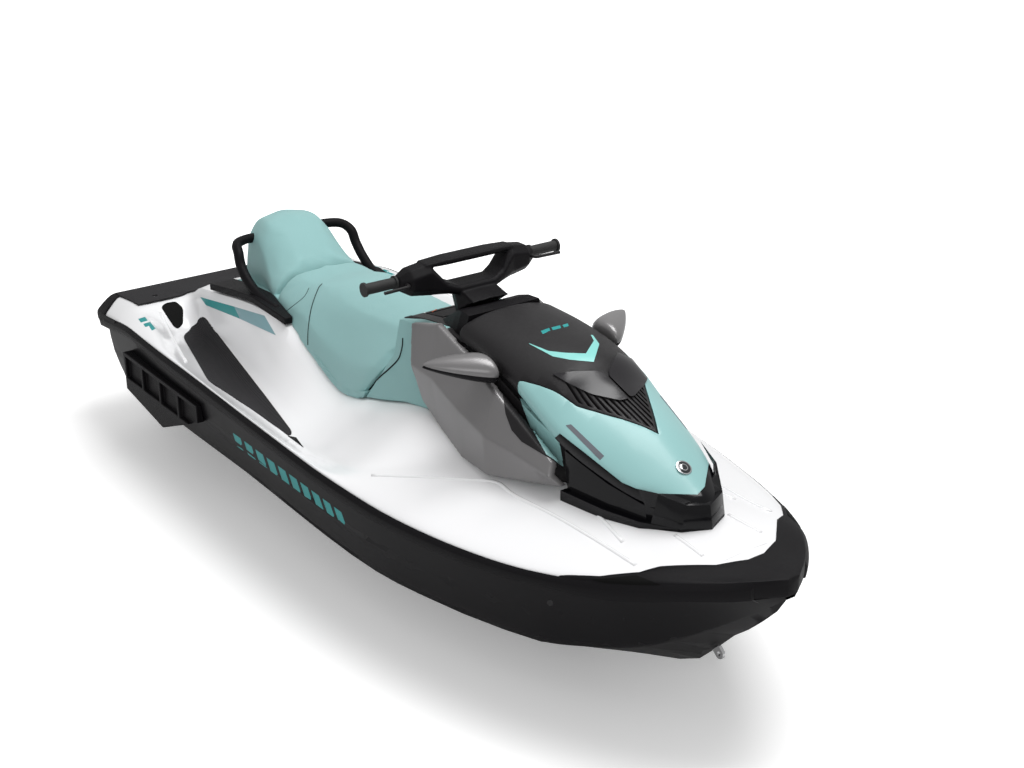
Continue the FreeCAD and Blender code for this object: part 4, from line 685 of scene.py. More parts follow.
gunwaleShares = [
    (0, 0.8, 1.005), (0.075, 0.8, 1.049), (0.136, 0.84, 1.05), (0.2, 0.92, 1.03),
    (0.271, 0.955, 1.015), (0.422, 0.965, 0.995), (0.542, 0.955, 0.975), (0.633, 0.91, 0.97),
    (0.723, 0.83, 0.97), (0.813, 0.7, 0.99), (0.873, 0.565, 1.035), (0.934, 0.35, 1.1),
    (0.97, 0.2, 1.11), (0.985, 0.12, 1.125), (1, 0.03, 1.135),
]
floorOuterShares = [
    (0, 0.704, 1.005), (0.075, 0.688, 1.049), (0.108, 0.62, 0.843), (0.151, 0.65, 0.784),
    (0.271, 0.745, 0.775), (0.422, 0.8, 0.784), (0.482, 0.84, 0.83), (0.52, 0.87, 0.89),
    (0.57, 0.89, 0.945), (0.622, 0.795, 1.02), (0.66, 0.66, 1.06), (0.717, 0.47, 1.098),
    (0.747, 0.46, 1.1), (0.797, 0.43, 1.09), (0.87, 0.4, 1.075), (0.934, 0.27, 1.115),
    (0.97, 0.14, 1.12), (0.985, 0.085, 1.13), (1, 0.02, 1.14),
]
floorInnerShares = [
    (0, 0.544, 1.005), (0.075, 0.48, 1.049), (0.108, 0.44, 0.843), (0.151, 0.45, 0.784),
    (0.271, 0.544, 0.775), (0.422, 0.688, 0.784), (0.482, 0.745, 0.82), (0.52, 0.78, 0.875),
    (0.58, 0.76, 0.98), (0.615, 0.64, 1.035), (0.652, 0.47, 1.08), (0.717, 0.44, 1.11),
    (0.747, 0.3, 1.145), (0.77, 0.262, 1.155), (0.807, 0.283, 1.135), (0.868, 0.33, 1.105),
    (0.934, 0.18, 1.13), (0.97, 0.09, 1.13), (0.985, 0.055, 1.135), (1, 0.012, 1.14),
]
riserShares = [
    (0, 0.448, 1.005), (0.075, 0.432, 1.065), (0.102, 0.44, 1.176), (0.142, 0.448, 1.22),
    (0.271, 0.448, 1.324), (0.316, 0.429, 1.284), (0.361, 0.416, 1.157), (0.428, 0.419, 1.01),
    (0.497, 0.419, 1.108), (0.587, 0.4, 1.24), (0.663, 0.39, 1.176), (0.717, 0.36, 1.147),
    (0.783, 0.24, 1.165), (0.864, 0.17, 1.16), (0.907, 0.12, 1.15), (0.97, 0.05, 1.135),
    (0.985, 0.03, 1.14), (1, 0.006, 1.14),
]


def across(share):
    return share * boat["halfBeam"]


def linePoint(table, at, column=2):
    return Vector((along(at), across(eased(table, at)), height(eased(table, at, column))))


# Deck: one smooth skin over gunwales, footwells and riser, closed underneath
deckSettings = {
    "rows": 104, "end": 0.999, "skin": 0.03, "thinFrom": 0.94,
    "reach": (0.004, 0.014, 0.030, 0.034, 0.018),
    "bay": ((-0.664, -0.165, -0.5), (-0.088, 0.165, 0.7)),
    "bayShelf": ((-0.896, -0.165, -0.01), (-0.640, 0.165, 0.7)),
    "bin": ((0.412, -0.138, -0.5), (0.999, 0.138, 0.7)),
}


def deckSection(at, settings):
    outer = across(eased(beamShares, at)) - boat["railWidth"]
    seam = Vector((along(at), outer, height(eased(seamShares, at))))
    top = Vector((along(at), outer, height(eased(railTopShares, at))))
    lines = [linePoint(table, at) for table in (gunwaleShares, floorOuterShares, floorInnerShares, riserShares)]
    centre = Vector((along(at), 0, lines[-1].z))
    drop = settings["skin"] * min(1, (1 - at) / (1 - settings["thinFrom"]))
    low = min(seam.z, lines[1].z) - drop
    sides = (0, lines[2].y * 0.8, lines[2].y, (lines[1].y + outer) / 2)
    under = [Vector((along(at), side, low)) for side in sides]
    half = under + softened([seam, top] + lines + [centre], settings["reach"])
    return half + otherSide(half[1:-1]) + [under[0]]


def makeDeck(settings):
    sections = [deckSection(at, settings) for at in spread(0, settings["end"], settings["rows"])]
    deck = gridSkin("deckSkin", sections)
    outward(deck)
    smoothed(deck, 1)
    fillHoles(deck)
    tools = [boxTool(*settings[name]) for name in ("bay", "bayShelf", "bin")]
    carve(deck, tools)
    dropTools(tools)
    smoothByAngle(deck, 40)
    dress(deck, materials["gelWhite"], "craft", "deck_white", "deck")
    return deck


deckSkin = makeDeck(deckSettings)
print("deck done")

# Hull: the frame's form below, and a smooth skin over each topside
hullSettings = {
    "rows": 92, "start": 0.04, "end": 0.998, "stand": 0.0014, "wall": 0.0012, "crease": 0.55,
    "bulge": 0.010, "reach": (0.010, 0.030),
}


def topside(at, settings):
    keel = Vector((along(at), 0, height(eased(keelShares, at))))
    chine = Vector((along(at), across(eased(chineShares, at)), height(eased(chineLevelShares, at))))
    outer = across(eased(beamShares, at)) - boat["railWidth"]
    seam = Vector((along(at), outer, height(eased(seamShares, at))))
    crease = chine + (seam - chine) * settings["crease"]
    crease.y += settings["bulge"] * min(1, seam.y / boat["halfBeam"])
    return [chine + (keel - chine) * 0.05, chine, crease, seam]


def makeTopsides(settings):
    sections = []
    for at in spread(settings["start"], settings["end"], settings["rows"]):
        line = softened(topside(at, settings), settings["reach"])
        sections.append([point + Vector((0, settings["stand"], 0)) for point in line])
    skin = gridSkin("hullSkin", sections)
    facing(skin, (0, 1, 0))
    smoothed(skin, 1)
    addModifier(skin, "SOLIDIFY", thickness=settings["wall"], offset=-1)
    applyAll(skin)
    mirrorAcross(skin)
    smoothByAngle(skin, 40)
    dress(skin, materials["hullBlack"], "craft", "hull_black")
    return skin


hullBody = copyOfNode("hull", "hullBody", 24)
dress(hullBody, materials["hullBlack"], "craft", "hull_black", "hull")
hullSkin = makeTopsides(hullSettings)

# Rub rails: a black band with two soft edges
railSettings = {"rows": 110, "start": 0.03, "end": 0.985, "edge": 0.0025}


def makeRails(settings):
    sections = []
    for at in spread(settings["start"], settings["end"], settings["rows"]):
        outer = across(eased(beamShares, at))
        low, high = height(eased(seamShares, at)), height(eased(railTopShares, at))
        x, rise, width = along(at), high - low, boat["railWidth"]
        sections.append([
            Vector((x, outer - width, low)), Vector((x, outer - width / 3, low)),
            Vector((x, outer, low + rise / 3)), Vector((x, outer, low + rise * 2 / 3)),
            Vector((x, outer - width, high)), Vector((x, outer - width, low)),
        ])
    rail = gridSkin("rubRails", sections)
    outward(rail)
    fillHoles(rail)
    mirrorAcross(rail)
    softEdges(rail, settings["edge"], 25)
    dress(rail, materials["grainBlack"], "craft", slots["rub_rails"], "rub_rails")


makeRails(railSettings)
print("hull and rails done")

# Front cover: one smooth shell, parted into the pale panel and the black centre
hoodShares = [
    (0.61, 0.22, 1.0, 0.29, 0.965), (0.65, 0.22, 1.0, 0.30, 0.955), (0.70, 0.20, 0.99, 0.325, 0.925),
    (0.745, 0.18, 0.965, 0.335, 0.865), (0.775, 0.17, 0.90, 0.325, 0.815), (0.83, 0.13, 0.83, 0.27, 0.75),
    (0.86, 0.10, 0.775, 0.215, 0.72), (0.891, 0.06, 0.71, 0.10, 0.695),
]
hoodSettings = {
    "rows": 46, "start": 0.615, "end": 0.889, "edge": 0.034, "crown": 0.007, "wall": 0.016,
    "reach": (0.009, 0.052), "split": 0.003,
    "centre": [(0.60, 0.5), (0.70, 0.5), (0.716, 0.312), (0.771, 0.205), (0.833, 0.0)],
    "apex": 0.773, "sweep": 0.86, "grilleHalf": 0.2, "slots": 8, "slat": 0.008, "rim": 0.012,
    "growth": (0.002, 0.008), "backing": (0.96, 0.024),
    "tail": [(0.614, 0.97, 0.03), (0.6145, 0.995, 0.008)],
    "nose": [(0.894, 0.9, 0.006), (0.897, 0.75, 0.018), (0.898, 0.65, 0.036)],
    "noseRound": 0.006, "noseHalf": 0.07,
}


def hoodSection(at, settings, narrow=1, drop=0):
    x = along(at)
    shoulder = Vector((x, across(eased(hoodShares, at)), height(eased(hoodShares, at, 2), "hood")))
    edge = Vector((x, across(eased(hoodShares, at, 3)), height(eased(hoodShares, at, 4), "hood")))
    low = edge - Vector((0, 0.004, settings["edge"]))
    centre = Vector((x, 0, shoulder.z + settings["crown"]))
    half = softened([low, edge, shoulder, centre], settings["reach"])
    half = [Vector((p.x, p.y * narrow, p.z - drop)) for p in half]
    return half + otherSide(half[:-1])


def mirrorPlan(points):  # plan points to port, then the same to starboard
    return points + [(x, -y) for x, y in reversed(points) if y > 0]


def makeHoodShell(settings):
    sections = [hoodSection(at, settings, *turnedIn) for at, *turnedIn in settings["tail"]]
    sections += [hoodSection(at, settings) for at in spread(settings["start"], settings["end"], settings["rows"])]
    for at, *turnedIn in settings["nose"]:
        section = hoodSection(at, settings, *turnedIn)
        for point in section:
            point.x += settings["noseRound"] * (1 - abs(point.y) / settings["noseHalf"])
        sections.append(section)
    shell = gridSkin("hoodShell", sections)
    facing(shell, (0, 0, 1))
    smoothed(shell, 1)
    addModifier(shell, "SOLIDIFY", thickness=settings["wall"], offset=-1)
    applyAll(shell)
    return shell


def makeHood(settings):
    shell = makeHoodShell(settings)
    half = [(along(at), across(side)) for at, side in settings["centre"]]
    plan = mirrorPlan(half)
    ahead, tipAhead = settings["growth"]
    grown = mirrorPlan([(x + ahead, y + settings["split"]) for x, y in half[:-1]] + [(half[-1][0] + tipAhead, 0)])
    low, high = height(0.4, "hood"), height(1.2, "hood")
    tools = [planTool(plan, low, high), planTool(grown, low, high)]
    centre = carve(duplicate(shell, "hoodCentre"), tools[:1], "INTERSECT")
    panel = carve(duplicate(shell, "hoodPanel"), tools[1:])
    backing = carve(duplicate(shell, "hoodBacking"), tools[:1], "INTERSECT")
    narrow, drop = settings["backing"]
    for vertex in backing.data.vertices:
        vertex.co.z -= drop
        vertex.co.y *= narrow
    slotTools = []
    tip, swept = settings["centre"][-1], settings["centre"][-2]
    slope = (along(tip[0]) - along(swept[0])) / across(swept[1])
    pitch = across(settings["grilleHalf"]) / settings["slots"]
    for index in range(settings["slots"]):
        inner = index * pitch + settings["slat"] / 2
        outer = (index + 1) * pitch - settings["slat"] / 2
        rear, front = along(settings["apex"]), along(tip[0]) - settings["rim"]
        outline = [
            (rear - inner * settings["sweep"], inner), (front - inner * slope, inner),
            (front - outer * slope, outer), (rear - outer * settings["sweep"], outer),
        ]
        for plan in (outline, [(x, -y) for x, y in reversed(outline)]):
            slotTools.append(planTool(plan, low, high))
    slotTool = joined("slotTool", slotTools)
    carve(centre, [slotTool])
    volume = fillHoles(duplicate(shell, "hoodVolume"))
    dropTools(tools + [slotTool])
    softEdges(panel, 0.003, 40)
    softEdges(centre, 0.0012, 50, 1)
    smoothByAngle(backing, 40)
    dress(panel, materials["paleGloss"], "hood", "hood_pale", "hood_panel")
    dress(centre, materials["satinBlack"], "hood", "hood_black", "hood_centre")
    dress(backing, materials["grainBlack"], "hood", "hood_black")
    return panel, centre, shell, volume


hoodPanel, hoodCentre, hoodShell, hoodVolume = makeHood(hoodSettings)
print("front cover done")

# Seat cushions: crowned forms, swollen by a cloth simulation, with piping and seams after it
seatCrownShares = [
    (0.148, 0.17, 0.60), (0.154, 0.205, 0.80), (0.163, 0.225, 0.92), (0.178, 0.235, 0.992),
    (0.195, 0.24, 1.0), (0.226, 0.25, 0.745), (0.262, 0.27, 0.42), (0.3, 0.28, 0.41), (0.345, 0.29, 0.526),
    (0.40, 0.28, 0.58), (0.45, 0.26, 0.606), (0.5, 0.23, 0.617), (0.542, 0.20, 0.635),
]
seatLowShares = [
    (0.148, 0.22), (0.19, 0.25), (0.226, 0.28), (0.262, 0.335), (0.316, 0.40), (0.38, 0.425),
    (0.45, 0.42), (0.542, 0.41),
]
seatSettings = {
    "rear": {"start": 0.1495, "end": 0.2605, "rows": 14},
    "front": {"start": 0.2635, "end": 0.525, "rows": 28},
    "lift": -0.02, "margin": -0.008, "peak": 0.271, "voxel": 0.0075, "bulge": 0.006, "inset": 0.006,
    "pressure": 2.5, "soften": 32, "cap": 0.006, "frames": 20, "fill": 0.85,
    "face": [(0.462, 0.95), (0.468, 1.04), (0.512, 1.45), (0.512, 2.0), (0.62, 2.0), (0.62, 0.95)],
}


def seatSection(at, settings):
    x = along(at)
    riser = linePoint(riserShares, at)
    foot = height(eased(riserShares, settings["peak"], 2))
    rise = height(1, "seat") - foot
    side = min(riser.y, across(eased(seatLowShares, at))) - settings["margin"]
    low = Vector((x, side, riser.z + settings["lift"]))
    crown = foot + eased(seatCrownShares, at, 2) * rise
    top = across(eased(seatCrownShares, at))
    shoulderZ = low.z + (crown - low.z) * 0.74
    middle = Vector((x, side * 0.62 + top * 0.38 + settings["bulge"], low.z + (crown - low.z) * 0.4))
    shoulder = Vector((x, top, shoulderZ))
    edge = Vector((x, top * 0.72, crown - (crown - shoulderZ) * 0.22))
    half = [low, middle, shoulder, edge, Vector((x, 0, crown + 0.004))]
    return half + otherSide(half[:-1]) + [low]


def makeCushion(name, settings, part):
    places = spread(part["start"], part["end"], part["rows"])
    cushion = gridSkin(name, [seatSection(at, settings) for at in places])
    outward(cushion)
    fillHoles(cushion)
    points = [(along(at), height(up)) for at, up in settings["face"]]
    tool = prism("faceTool", *[[(x, side, z) for x, z in points] for side in (-0.6, 0.6)])
    carve(cushion, [tool])
    dropTools([tool])
    melt(cushion, settings["voxel"], settings["soften"])
    swell(cushion, settings)
    smoothed(cushion, 1)
    return cushion


def swell(cushion, settings):  # the cloth may move no point further than the cap
    addModifier(cushion, "DISPLACE", strength=-settings["inset"], mid_level=0)
    applyAll(cushion)
    before = [vertex.co.copy() for vertex in cushion.data.vertices]
    makeActive(cushion)
    cloth = cushion.modifiers.new("Cloth", "CLOTH")
    cloth.settings.use_pressure = True
    cloth.settings.uniform_pressure_force = settings["pressure"]
    cloth.settings.effector_weights.gravity = 0
    cloth.settings.quality = 5
    scene = bpy.context.scene
    for number in range(1, settings["frames"] + 1):
        scene.frame_set(number)
    bpy.ops.object.modifier_apply(modifier=cloth.name)
    scene.frame_set(1)
    for vertex, start in zip(cushion.data.vertices, before):
        move = vertex.co - start
        if move.length > settings["cap"]:
            vertex.co = start + move.normalized() * settings["cap"]
    addModifier(cushion, "SMOOTH", factor=0.6, iterations=8)
    applyAll(cushion)


rearCushion = makeCushion("seatRear", seatSettings, seatSettings["rear"])
frontCushion = makeCushion("seatFront", seatSettings, seatSettings["front"])
for cushion, node in ((rearCushion, "seat_cushion_rear"), (frontCushion, "seat_cushion_front")):
    dress(cushion, materials["paleVinyl"], bodyOf[node], slots[node], node)
print("seat done")

# Moulded and metal pieces that keep the frame's form, with their edges broken
mouldedNodes = {
    "stern_corner_caps": 0.004, "console": 0.004, "knee_pads": 0.006, "column_cowl": 0.004,
    "glovebox_lid": 0.002, "side_trays": 0.003, "platform_mat": 0.002, "sponsons": 0.003,
    "seat_base": 0.002, "storage_bin": 0.001, "engine_block": 0.01, "ride_plate": 0.002,
    "intake_grate": 0.001, "reverse_gate": 0.0015,
}
meltedNodes = {"side_panels": (0.0038, 14), "steering_cover": (0.0035, 5)}
# the seat base takes the darker copy of the seat vinyl, which is painted shade
pieceFinish = {"console": "satinBlack", "seat_base": "shadedSideVinyl"}
forms = {}


def dressForm(piece, node):
    finish = pieceFinish.get(node, slotFinishes[slots[node]])
    dress(piece, materials[finish], bodyOf[node], slots[node], node)
    forms[node] = piece


for node, width in mouldedNodes.items():
    piece = copyOfNode(node, node + "Form")
    softEdges(piece, width, 30)
    dressForm(piece, node)
for node in ("handlebar", "levers", "grips"):
    dressForm(copyOfNode(node, node + "Form", 35), node)
for node, (voxel, rounds) in meltedNodes.items():
    piece = copyOfNode(node, node + "Form")
    roundedForm(piece, voxel, rounds)
    dressForm(piece, node)

# The fascia under the front cover, its scoop closed at the front by the hull of its own points
coverEdge = [
    (560, 434), (585.7, 454), (622, 483), (636, 489), (659, 494), (697.5, 495), (705, 487), (711, 452),
]
fasciaSettings = {
    "noseFrom": 1.235, "depths": (3.0, 4.6), "behind": [(700, 400), (600, 380), (545, 380)],
    "near": ((0, -0.6, -0.5), (2, 0, 1)), "edge": 0.003,
}


def hullOfFront(obj, start):
    mesh = bmesh.new()
    mesh.from_mesh(obj.data)
    bmesh.ops.delete(mesh, geom=[vert for vert in mesh.verts if vert.co.x < start], context="VERTS")
    kept = set(bmesh.ops.convex_hull(mesh, input=mesh.verts[:])["geom"])
    bmesh.ops.delete(mesh, geom=[face for face in mesh.faces if face not in kept], context="FACES")
    bmesh.ops.recalc_face_normals(mesh, faces=mesh.faces[:])
    mesh.to_mesh(obj.data)
    mesh.free()


def makeFascia(settings):
    fascia = copyOfNode("fascia", "fasciaForm")
    nose = duplicate(fascia, "fasciaNose")
    hullOfFront(nose, settings["noseFrom"])
    edgeTool = pictureTool(coverEdge + settings["behind"], *settings["depths"])
    nearSide = boxTool(*settings["near"])
    carve(edgeTool, [nearSide], "INTERSECT")
    mirrorAcross(edgeTool)
    for piece in (nose, fascia):
        carve(piece, [hoodVolume, edgeTool])
        softEdges(piece, settings["edge"], 30)
        dressForm(piece, "fascia")
    dropTools([edgeTool, nearSide])


makeFascia(fasciaSettings)
print("moulded pieces done")

# Bow cap, foot mats, the pocket's painted shade and marks: raised parts of the skins
capSettings = {
    "bow": [
        (1.165, 0.46), (1.175, 0.41), (1.281, 0.346), (1.36, 0.273), (1.384, 0.222), (1.484, 0.114),
        (1.522, 0.03),
    ],
    "bowFar": 1.8, "bowSide": 0.5, "bowLift": 0.003, "bowEdge": 0.002,
    "nose": [(1.474, 0.122), (1.484, 0.112), (1.522, 0.03), (1.75, 0.02), (1.75, 0.09)], "noseLift": 0.009,
    # the wedge is painted shade: the shadow of the bow cap's recess, as a lightless black patch
    "wedge": {"outline": [(592, 580), (636, 575.5), (701, 601), (626, 587)], "lift": 0.0012, "reach": 0.2},
    "stern": [
        (-1.70, 0.66), (-1.565, 0.66), (-1.545, 0.60), (-1.60, 0.50), (-1.62, 0.42), (-1.70, 0.42),
    ],
    "sternLift": 0.005, "edge": 0.003,
    "band": [(-1.7, 0.45), (-1.7, -0.45), (-1.652, -0.45), (-1.652, 0.45)], "bandLift": 0.003,
}


def planPatch(name, source, outline, lift, low=-0.6, high=0.6):
    tool = planTool(outline, low, high)
    piece = carve(duplicate(source, name), [tool], "INTERSECT")
    dropTools([tool])
    addModifier(piece, "DISPLACE", strength=lift, mid_level=0)
    applyAll(piece)
    return piece


def makeCaps(settings):
    black, bowSlot, sternSlot = materials["grainBlack"], slots["bow_cap"], slots["stern_corner_caps"]
    line, side = settings["bow"], settings["bowSide"]
    rear, far = line[0][0], settings["bowFar"]
    outline = [(rear, side)] + line + [(x, -y) for x, y in reversed(line)]
    outline += [(rear, -side), (far, -side), (far, side)]
    cap = planPatch("bowCap", deckSkin, outline, settings["bowLift"])
    softEdges(cap, settings["bowEdge"], 40)
    dress(cap, black, "craft", bowSlot, "bow_cap")
    # painted shade: the shadow in the bow cap's recess is a lightless black wedge laid on the cap
    dress(patch("bowWedgeShade", cap, settings["wedge"]), materials["paintedRecessShade"], "craft", bowSlot)
    nose = planPatch("bowNose", deckSkin, mirrorPlan(settings["nose"]), settings["noseLift"])
    softEdges(nose, settings["edge"], 40)
    dress(nose, black, "craft", bowSlot)
    for plan in (settings["stern"], [(x, -y) for x, y in reversed(settings["stern"])]):
        corner = planPatch("sternCap", deckSkin, plan, settings["sternLift"], 0.0)
        softEdges(corner, settings["edge"], 40)
        dress(corner, black, "craft", sternSlot)
    band = planPatch("sternBand", deckSkin, settings["band"], settings["bandLift"])
    dress(band, black, "craft", sternSlot)


makeCaps(capSettings)
print("caps done")

markSettings = {"lift": 0.0008, "finish": "tealMark", "slot": "deck_white"}
deckPatches = {
    # painted shade: the pocket's shadowed hollow is a lightless black patch on the deck
    "pocketShade": {
        "outline": [(161, 307), (166, 303), (176, 301.5), (183, 308), (183, 324), (178, 329), (174, 327)],
        "round": 3, "lift": 0.001, "finish": "paintedRecessShade", "slot": "trim_black", "reach": 0.25,
    },
    "deckSlot": {
        "outline": [(287.6, 435.8), (296, 437.6), (303.4, 447.4), (297, 442.5)],
        "lift": 0.0012, "finish": "glossBlack", "slot": "trim_black",
    },
    "sternFitting": {
        "outline": [(131, 299), (146, 300), (152, 303), (147, 304.5), (139, 302.5)],
        "round": 1, "lift": 0.003, "finish": "grainBlack", "slot": "trim_black",
    },
    "riserTeal": {"outline": [(200.5, 297.2), (234.4, 306.8), (240.1, 318.7), (206, 305)], "reach": 0.35},
    "riserPale": {
        "outline": [(234.4, 306.8), (264.4, 315.8), (275.6, 335), (240.1, 318.7)],
        "finish": "paleMark", "reach": 0.35,
    },
    "quarterMarkA": {"outline": [(138.5, 319), (145, 317), (147.5, 320.5), (141, 322.5)]},
    "quarterMarkB": {
        "outline": [(143.5, 324), (150, 322), (155.5, 328.5), (152, 330.5), (149, 326), (145.5, 327)],
    },
}


def addPatches(patches, source, body, common):
    for name, settings in patches.items():
        settings = {**common, **settings}
        dress(patch(name, source, settings), materials[settings["finish"]], body, settings["slot"])


addPatches(deckPatches, deckSkin, "craft", markSettings)

matSettings = {
    "lift": 0.004, "round": 3.5, "pitch": 9,
    "outline": [
        (183.6, 337), (201.3, 317.5), (205.5, 318.5), (230, 351), (260, 390), (291.3, 432), (290, 436),
        (250, 408), (209, 381.5),
    ],
}


def makeMats(settings):
    corners = roundedOutline(settings["outline"], settings["round"])
    edge = []
    for first, last in zip(corners, corners[1:] + corners[:1]):
        steps = max(1, round((last - first).length / settings["pitch"]))
        edge += [first.lerp(last, step / steps) for step in range(steps)]
    plan = [tuple(seen([deckSkin], *point).to_2d()) for point in edge]
    mat = planPatch("footMats", deckSkin, plan, settings["lift"])
    mirrorAcross(mat)
    smoothByAngle(mat, 45)
    dress(mat, materials["matFoam"], "craft", slots["foot_mats"], "foot_mats")


makeMats(matSettings)

creaseSettings = {
    "radius": 0.007, "sink": 0.0048,
    "lines": [
        [(372, 476), (400, 477), (426, 478), (470, 480.5), (497, 483), (515, 496), (556, 517), (600, 543),
         (636, 566)],
        [(570, 488), (588, 505), (606, 524), (623, 543)], [(675, 536), (690, 547), (703, 557)],
        [(160, 313), (168, 329), (177, 346), (186, 362)],
    ],
}
for line in creaseSettings["lines"]:
    crease = lineOn("deckCrease", [deckSkin], line, creaseSettings["radius"], creaseSettings["sink"])
    dress(crease, materials["gelWhite"], "craft", "deck_white")
print("deck marks done")

# Side of the hull: a row of slanted bars, and a drain
hullMarks = {
    "count": 10, "fill": 0.66, "top": ((233, 433), (345, 515)), "low": ((237, 446), (350, 529)),
    "lift": 0.0008, "reach": 0.05,
    "drain": [(547, 603), (548, 600.5), (551, 600), (553, 602), (552.5, 605), (549.5, 606)],
}


def makeBars(settings):
    bars = []
    for index in range(settings["count"]):
        corners = []
        for line, part in ((0, 0), (0, settings["fill"]), (1, settings["fill"]), (1, 0)):
            first, last = settings["low" if line else "top"]
            share = (index + part) / settings["count"]
            corners.append(tuple(Vector(first).lerp(Vector(last), share)))
        bars.append(patch("hullBar", hullSkin, {**settings, "outline": corners}))
    dress(joined("hullBars", bars), materials["tealMark"], "craft", "hull_black")


makeBars(hullMarks)
drain = patch("hullDrain", hullSkin, {**hullMarks, "outline": hullMarks["drain"]})
dress(drain, materials["glossBlack"], "craft", "hull_black")
print("hull marks done")

# Front cover: chevron, raised plates, the cover's edge, small marks, a stripe and a plain badge
hoodMarks = {"lift": 0.0008, "finish": "tealMark", "mirror": False, "slot": "hood_pale"}
hoodPatches = {
    "hoodChevron": {
        "outline": [
            (529, 343.5), (548.3, 351.2), (564, 353), (586, 353.8), (594, 341), (589, 330.5), (599, 344),
            (593.5, 361.7), (570, 359.5), (553, 356.2),
        ],
        "lift": 0.0012, "finish": "lightMark", "middle": (575, 357),
    },
    "hoodPlateNear": {
        "outline": [
            (552, 375.5), (575, 373), (601, 372.5), (608, 378), (629, 400), (620, 402), (592, 396), (570, 386),
        ],
        "lift": 0, "rise": 0.006, "finish": "plateBlack", "round": 2, "slot": "hood_black",
    },
    "hoodPlateFar": {
        "outline": [
            (609, 371), (617.5, 354), (632, 360), (648, 380), (644, 387), (634, 398), (630, 398),
            (609.5, 377.5),
        ],
        "lift": 0, "rise": 0.006, "finish": "plateBlack", "round": 2, "slot": "hood_black",
    },
    "coverEdge": {
        "outline": coverEdge + [
            (716, 452), (726, 480), (722, 512), (700, 530), (650, 520), (600, 495), (562, 466), (553, 440),
        ],
        "lift": 0.0015, "finish": "glossBlack", "middle": (660, 485), "reach": 0.35, "slot": "hood_black",
    },
    "hoodMarkA": {"outline": [(541, 331), (549, 328), (550, 330.5), (543, 334)]},
    "hoodMarkB": {"outline": [(551.5, 327.5), (560, 325.5), (561, 328), (553, 330)]},
    "hoodMarkC": {"outline": [(562.5, 325), (567.5, 323.5), (568.5, 326), (564, 327.3)]},
    "sideStripe": {
        "outline": [(566, 425.5), (571, 424.5), (604, 456), (600, 460)], "finish": "greyMark", "mirror": True,
    },
}
addPatches(hoodPatches, hoodShell, "hood", hoodMarks)

badgeSettings = {
    "place": (683.7, 467.8), "radius": 0.024, "thickness": 0.003, "edge": 0.0006,
    "discs": {
        "badgeRim": (1, 0.001, "steel"), "badgeFace": (0.84, 0.0018, "darkScreen"),
        "badgeRing": (0.5, 0.0024, "steel"), "badgeHeart": (0.38, 0.0029, "darkScreen"),
    },
}


def makeBadge(settings):
    u, v = settings["place"]
    place, ahead, aside = seen([hoodShell], u, v), seen([hoodShell], u + 3, v), seen([hoodShell], u, v - 3)
    normal = (ahead - place).cross(aside - place).normalized()
    for name, (radius, rise, finish) in settings["discs"].items():
        deselectAll()
        bpy.ops.mesh.primitive_cylinder_add(
            vertices=48, radius=settings["radius"] * radius, depth=settings["thickness"],
            location=place + normal * rise, rotation=normal.to_track_quat("Z", "Y").to_euler())
        disc = bpy.context.object
        disc.name = name
        placeInMesh(disc)
        softEdges(disc, settings["edge"], 30)
        dress(disc, materials[finish], "hood", "hood_pale")


makeBadge(badgeSettings)
dropTools([hoodShell, hoodVolume])
print("hood marks done")

# Side panels: the black band and the pale arm beside the front cover
sidePatches = {
    "sideBand": {
        "outline": [
            (497, 338), (507.5, 376), (503, 394), (506, 414), (512, 430), (522, 441.5), (554, 460.6),
            (568, 475), (572, 470), (547, 440), (527, 405), (524, 380), (512, 345),
        ],
        "lift": 0.0015, "finish": "satinBlack", "reach": 0.3, "middle": (512, 415),
    },
    "sideArm": {
        "outline": [
            (524, 378), (519, 384), (519.5, 396), (531.6, 428), (547, 454.5), (563.5, 466), (558, 437),
            (560, 434), (572, 444), (545, 395),
        ],
        "lift": 0.003, "finish": "paleGloss", "reach": 0.3, "middle": (528, 430),
    },
}
lidPatch = {
    "outline": [(405, 318), (410, 310), (420, 302), (432, 297), (458, 292), (470, 300), (444, 321), (425, 319)],
    "lift": 0.003, "reach": 0.25, "middle": (409, 330),
}
lidDark = patch("lidDark", forms["knee_pads"], lidPatch)
dress(lidDark, materials["grainBlack"], bodyOf["knee_pads"], slots["console"])
lidLines = {
    "gelWhite": ([(424, 313), (433, 309), (450, 298)], 0.0012),
    "orangeMark": ([(432, 312), (443, 306), (455, 301)], 0.002),
}
for finish, (points, radius) in lidLines.items():
    line = lineOn("lidLine", [lidDark, forms["console"], forms["glovebox_lid"]], points, radius)
    dress(line, materials[finish], bodyOf["knee_pads"], slots["console"])
for name, settings in sidePatches.items():
    for node in ("side_panels", "console"):
        piece = patch(name, forms[node], settings)
        dress(piece, materials[settings["finish"]], bodyOf[node], slots["side_panels"])
print("side bands done")

# Seams and piping of the seat, laid over the finished cushions: points, radius, sink
seatLines = {
    "rearSeam": ([(283, 316), (288, 310), (295, 304.5), (304.5, 296.4), (309, 288)], 0.0014, 0.0004),
    "piping": ([(322, 284), (318, 289.5), (311.3, 308.7), (308.3, 329.2), (307.9, 345)], 0.0022, 0.0006),
    "frontSeam": (
        [(403, 338), (402.5, 346), (400, 356), (396.2, 362), (388, 370), (379.8, 377.2), (367, 392)],
        0.003, 0.001,
    ),
}
seatPieces = [frontCushion, forms["knee_pads"]]
for name, (points, radius, sink) in seatLines.items():
    cord = lineOn(name, seatPieces, points, radius, sink)
    dress(cord, materials["grainBlack"], "seat", slots["seat_cushion_front"])
print("seat lines done")

# Grab handles beside the rear seat
handleSettings = {
    "radius": 0.019,
    "line": [
        (-1.07, 0.11, 0.545), (-1.06, 0.17, 0.552), (-1.03, 0.226, 0.55), (-0.985, 0.245, 0.53),
        (-0.96, 0.25, 0.485), (-0.91, 0.25, 0.44), (-0.83, 0.246, 0.402), (-0.71, 0.24, 0.383),
    ],
}


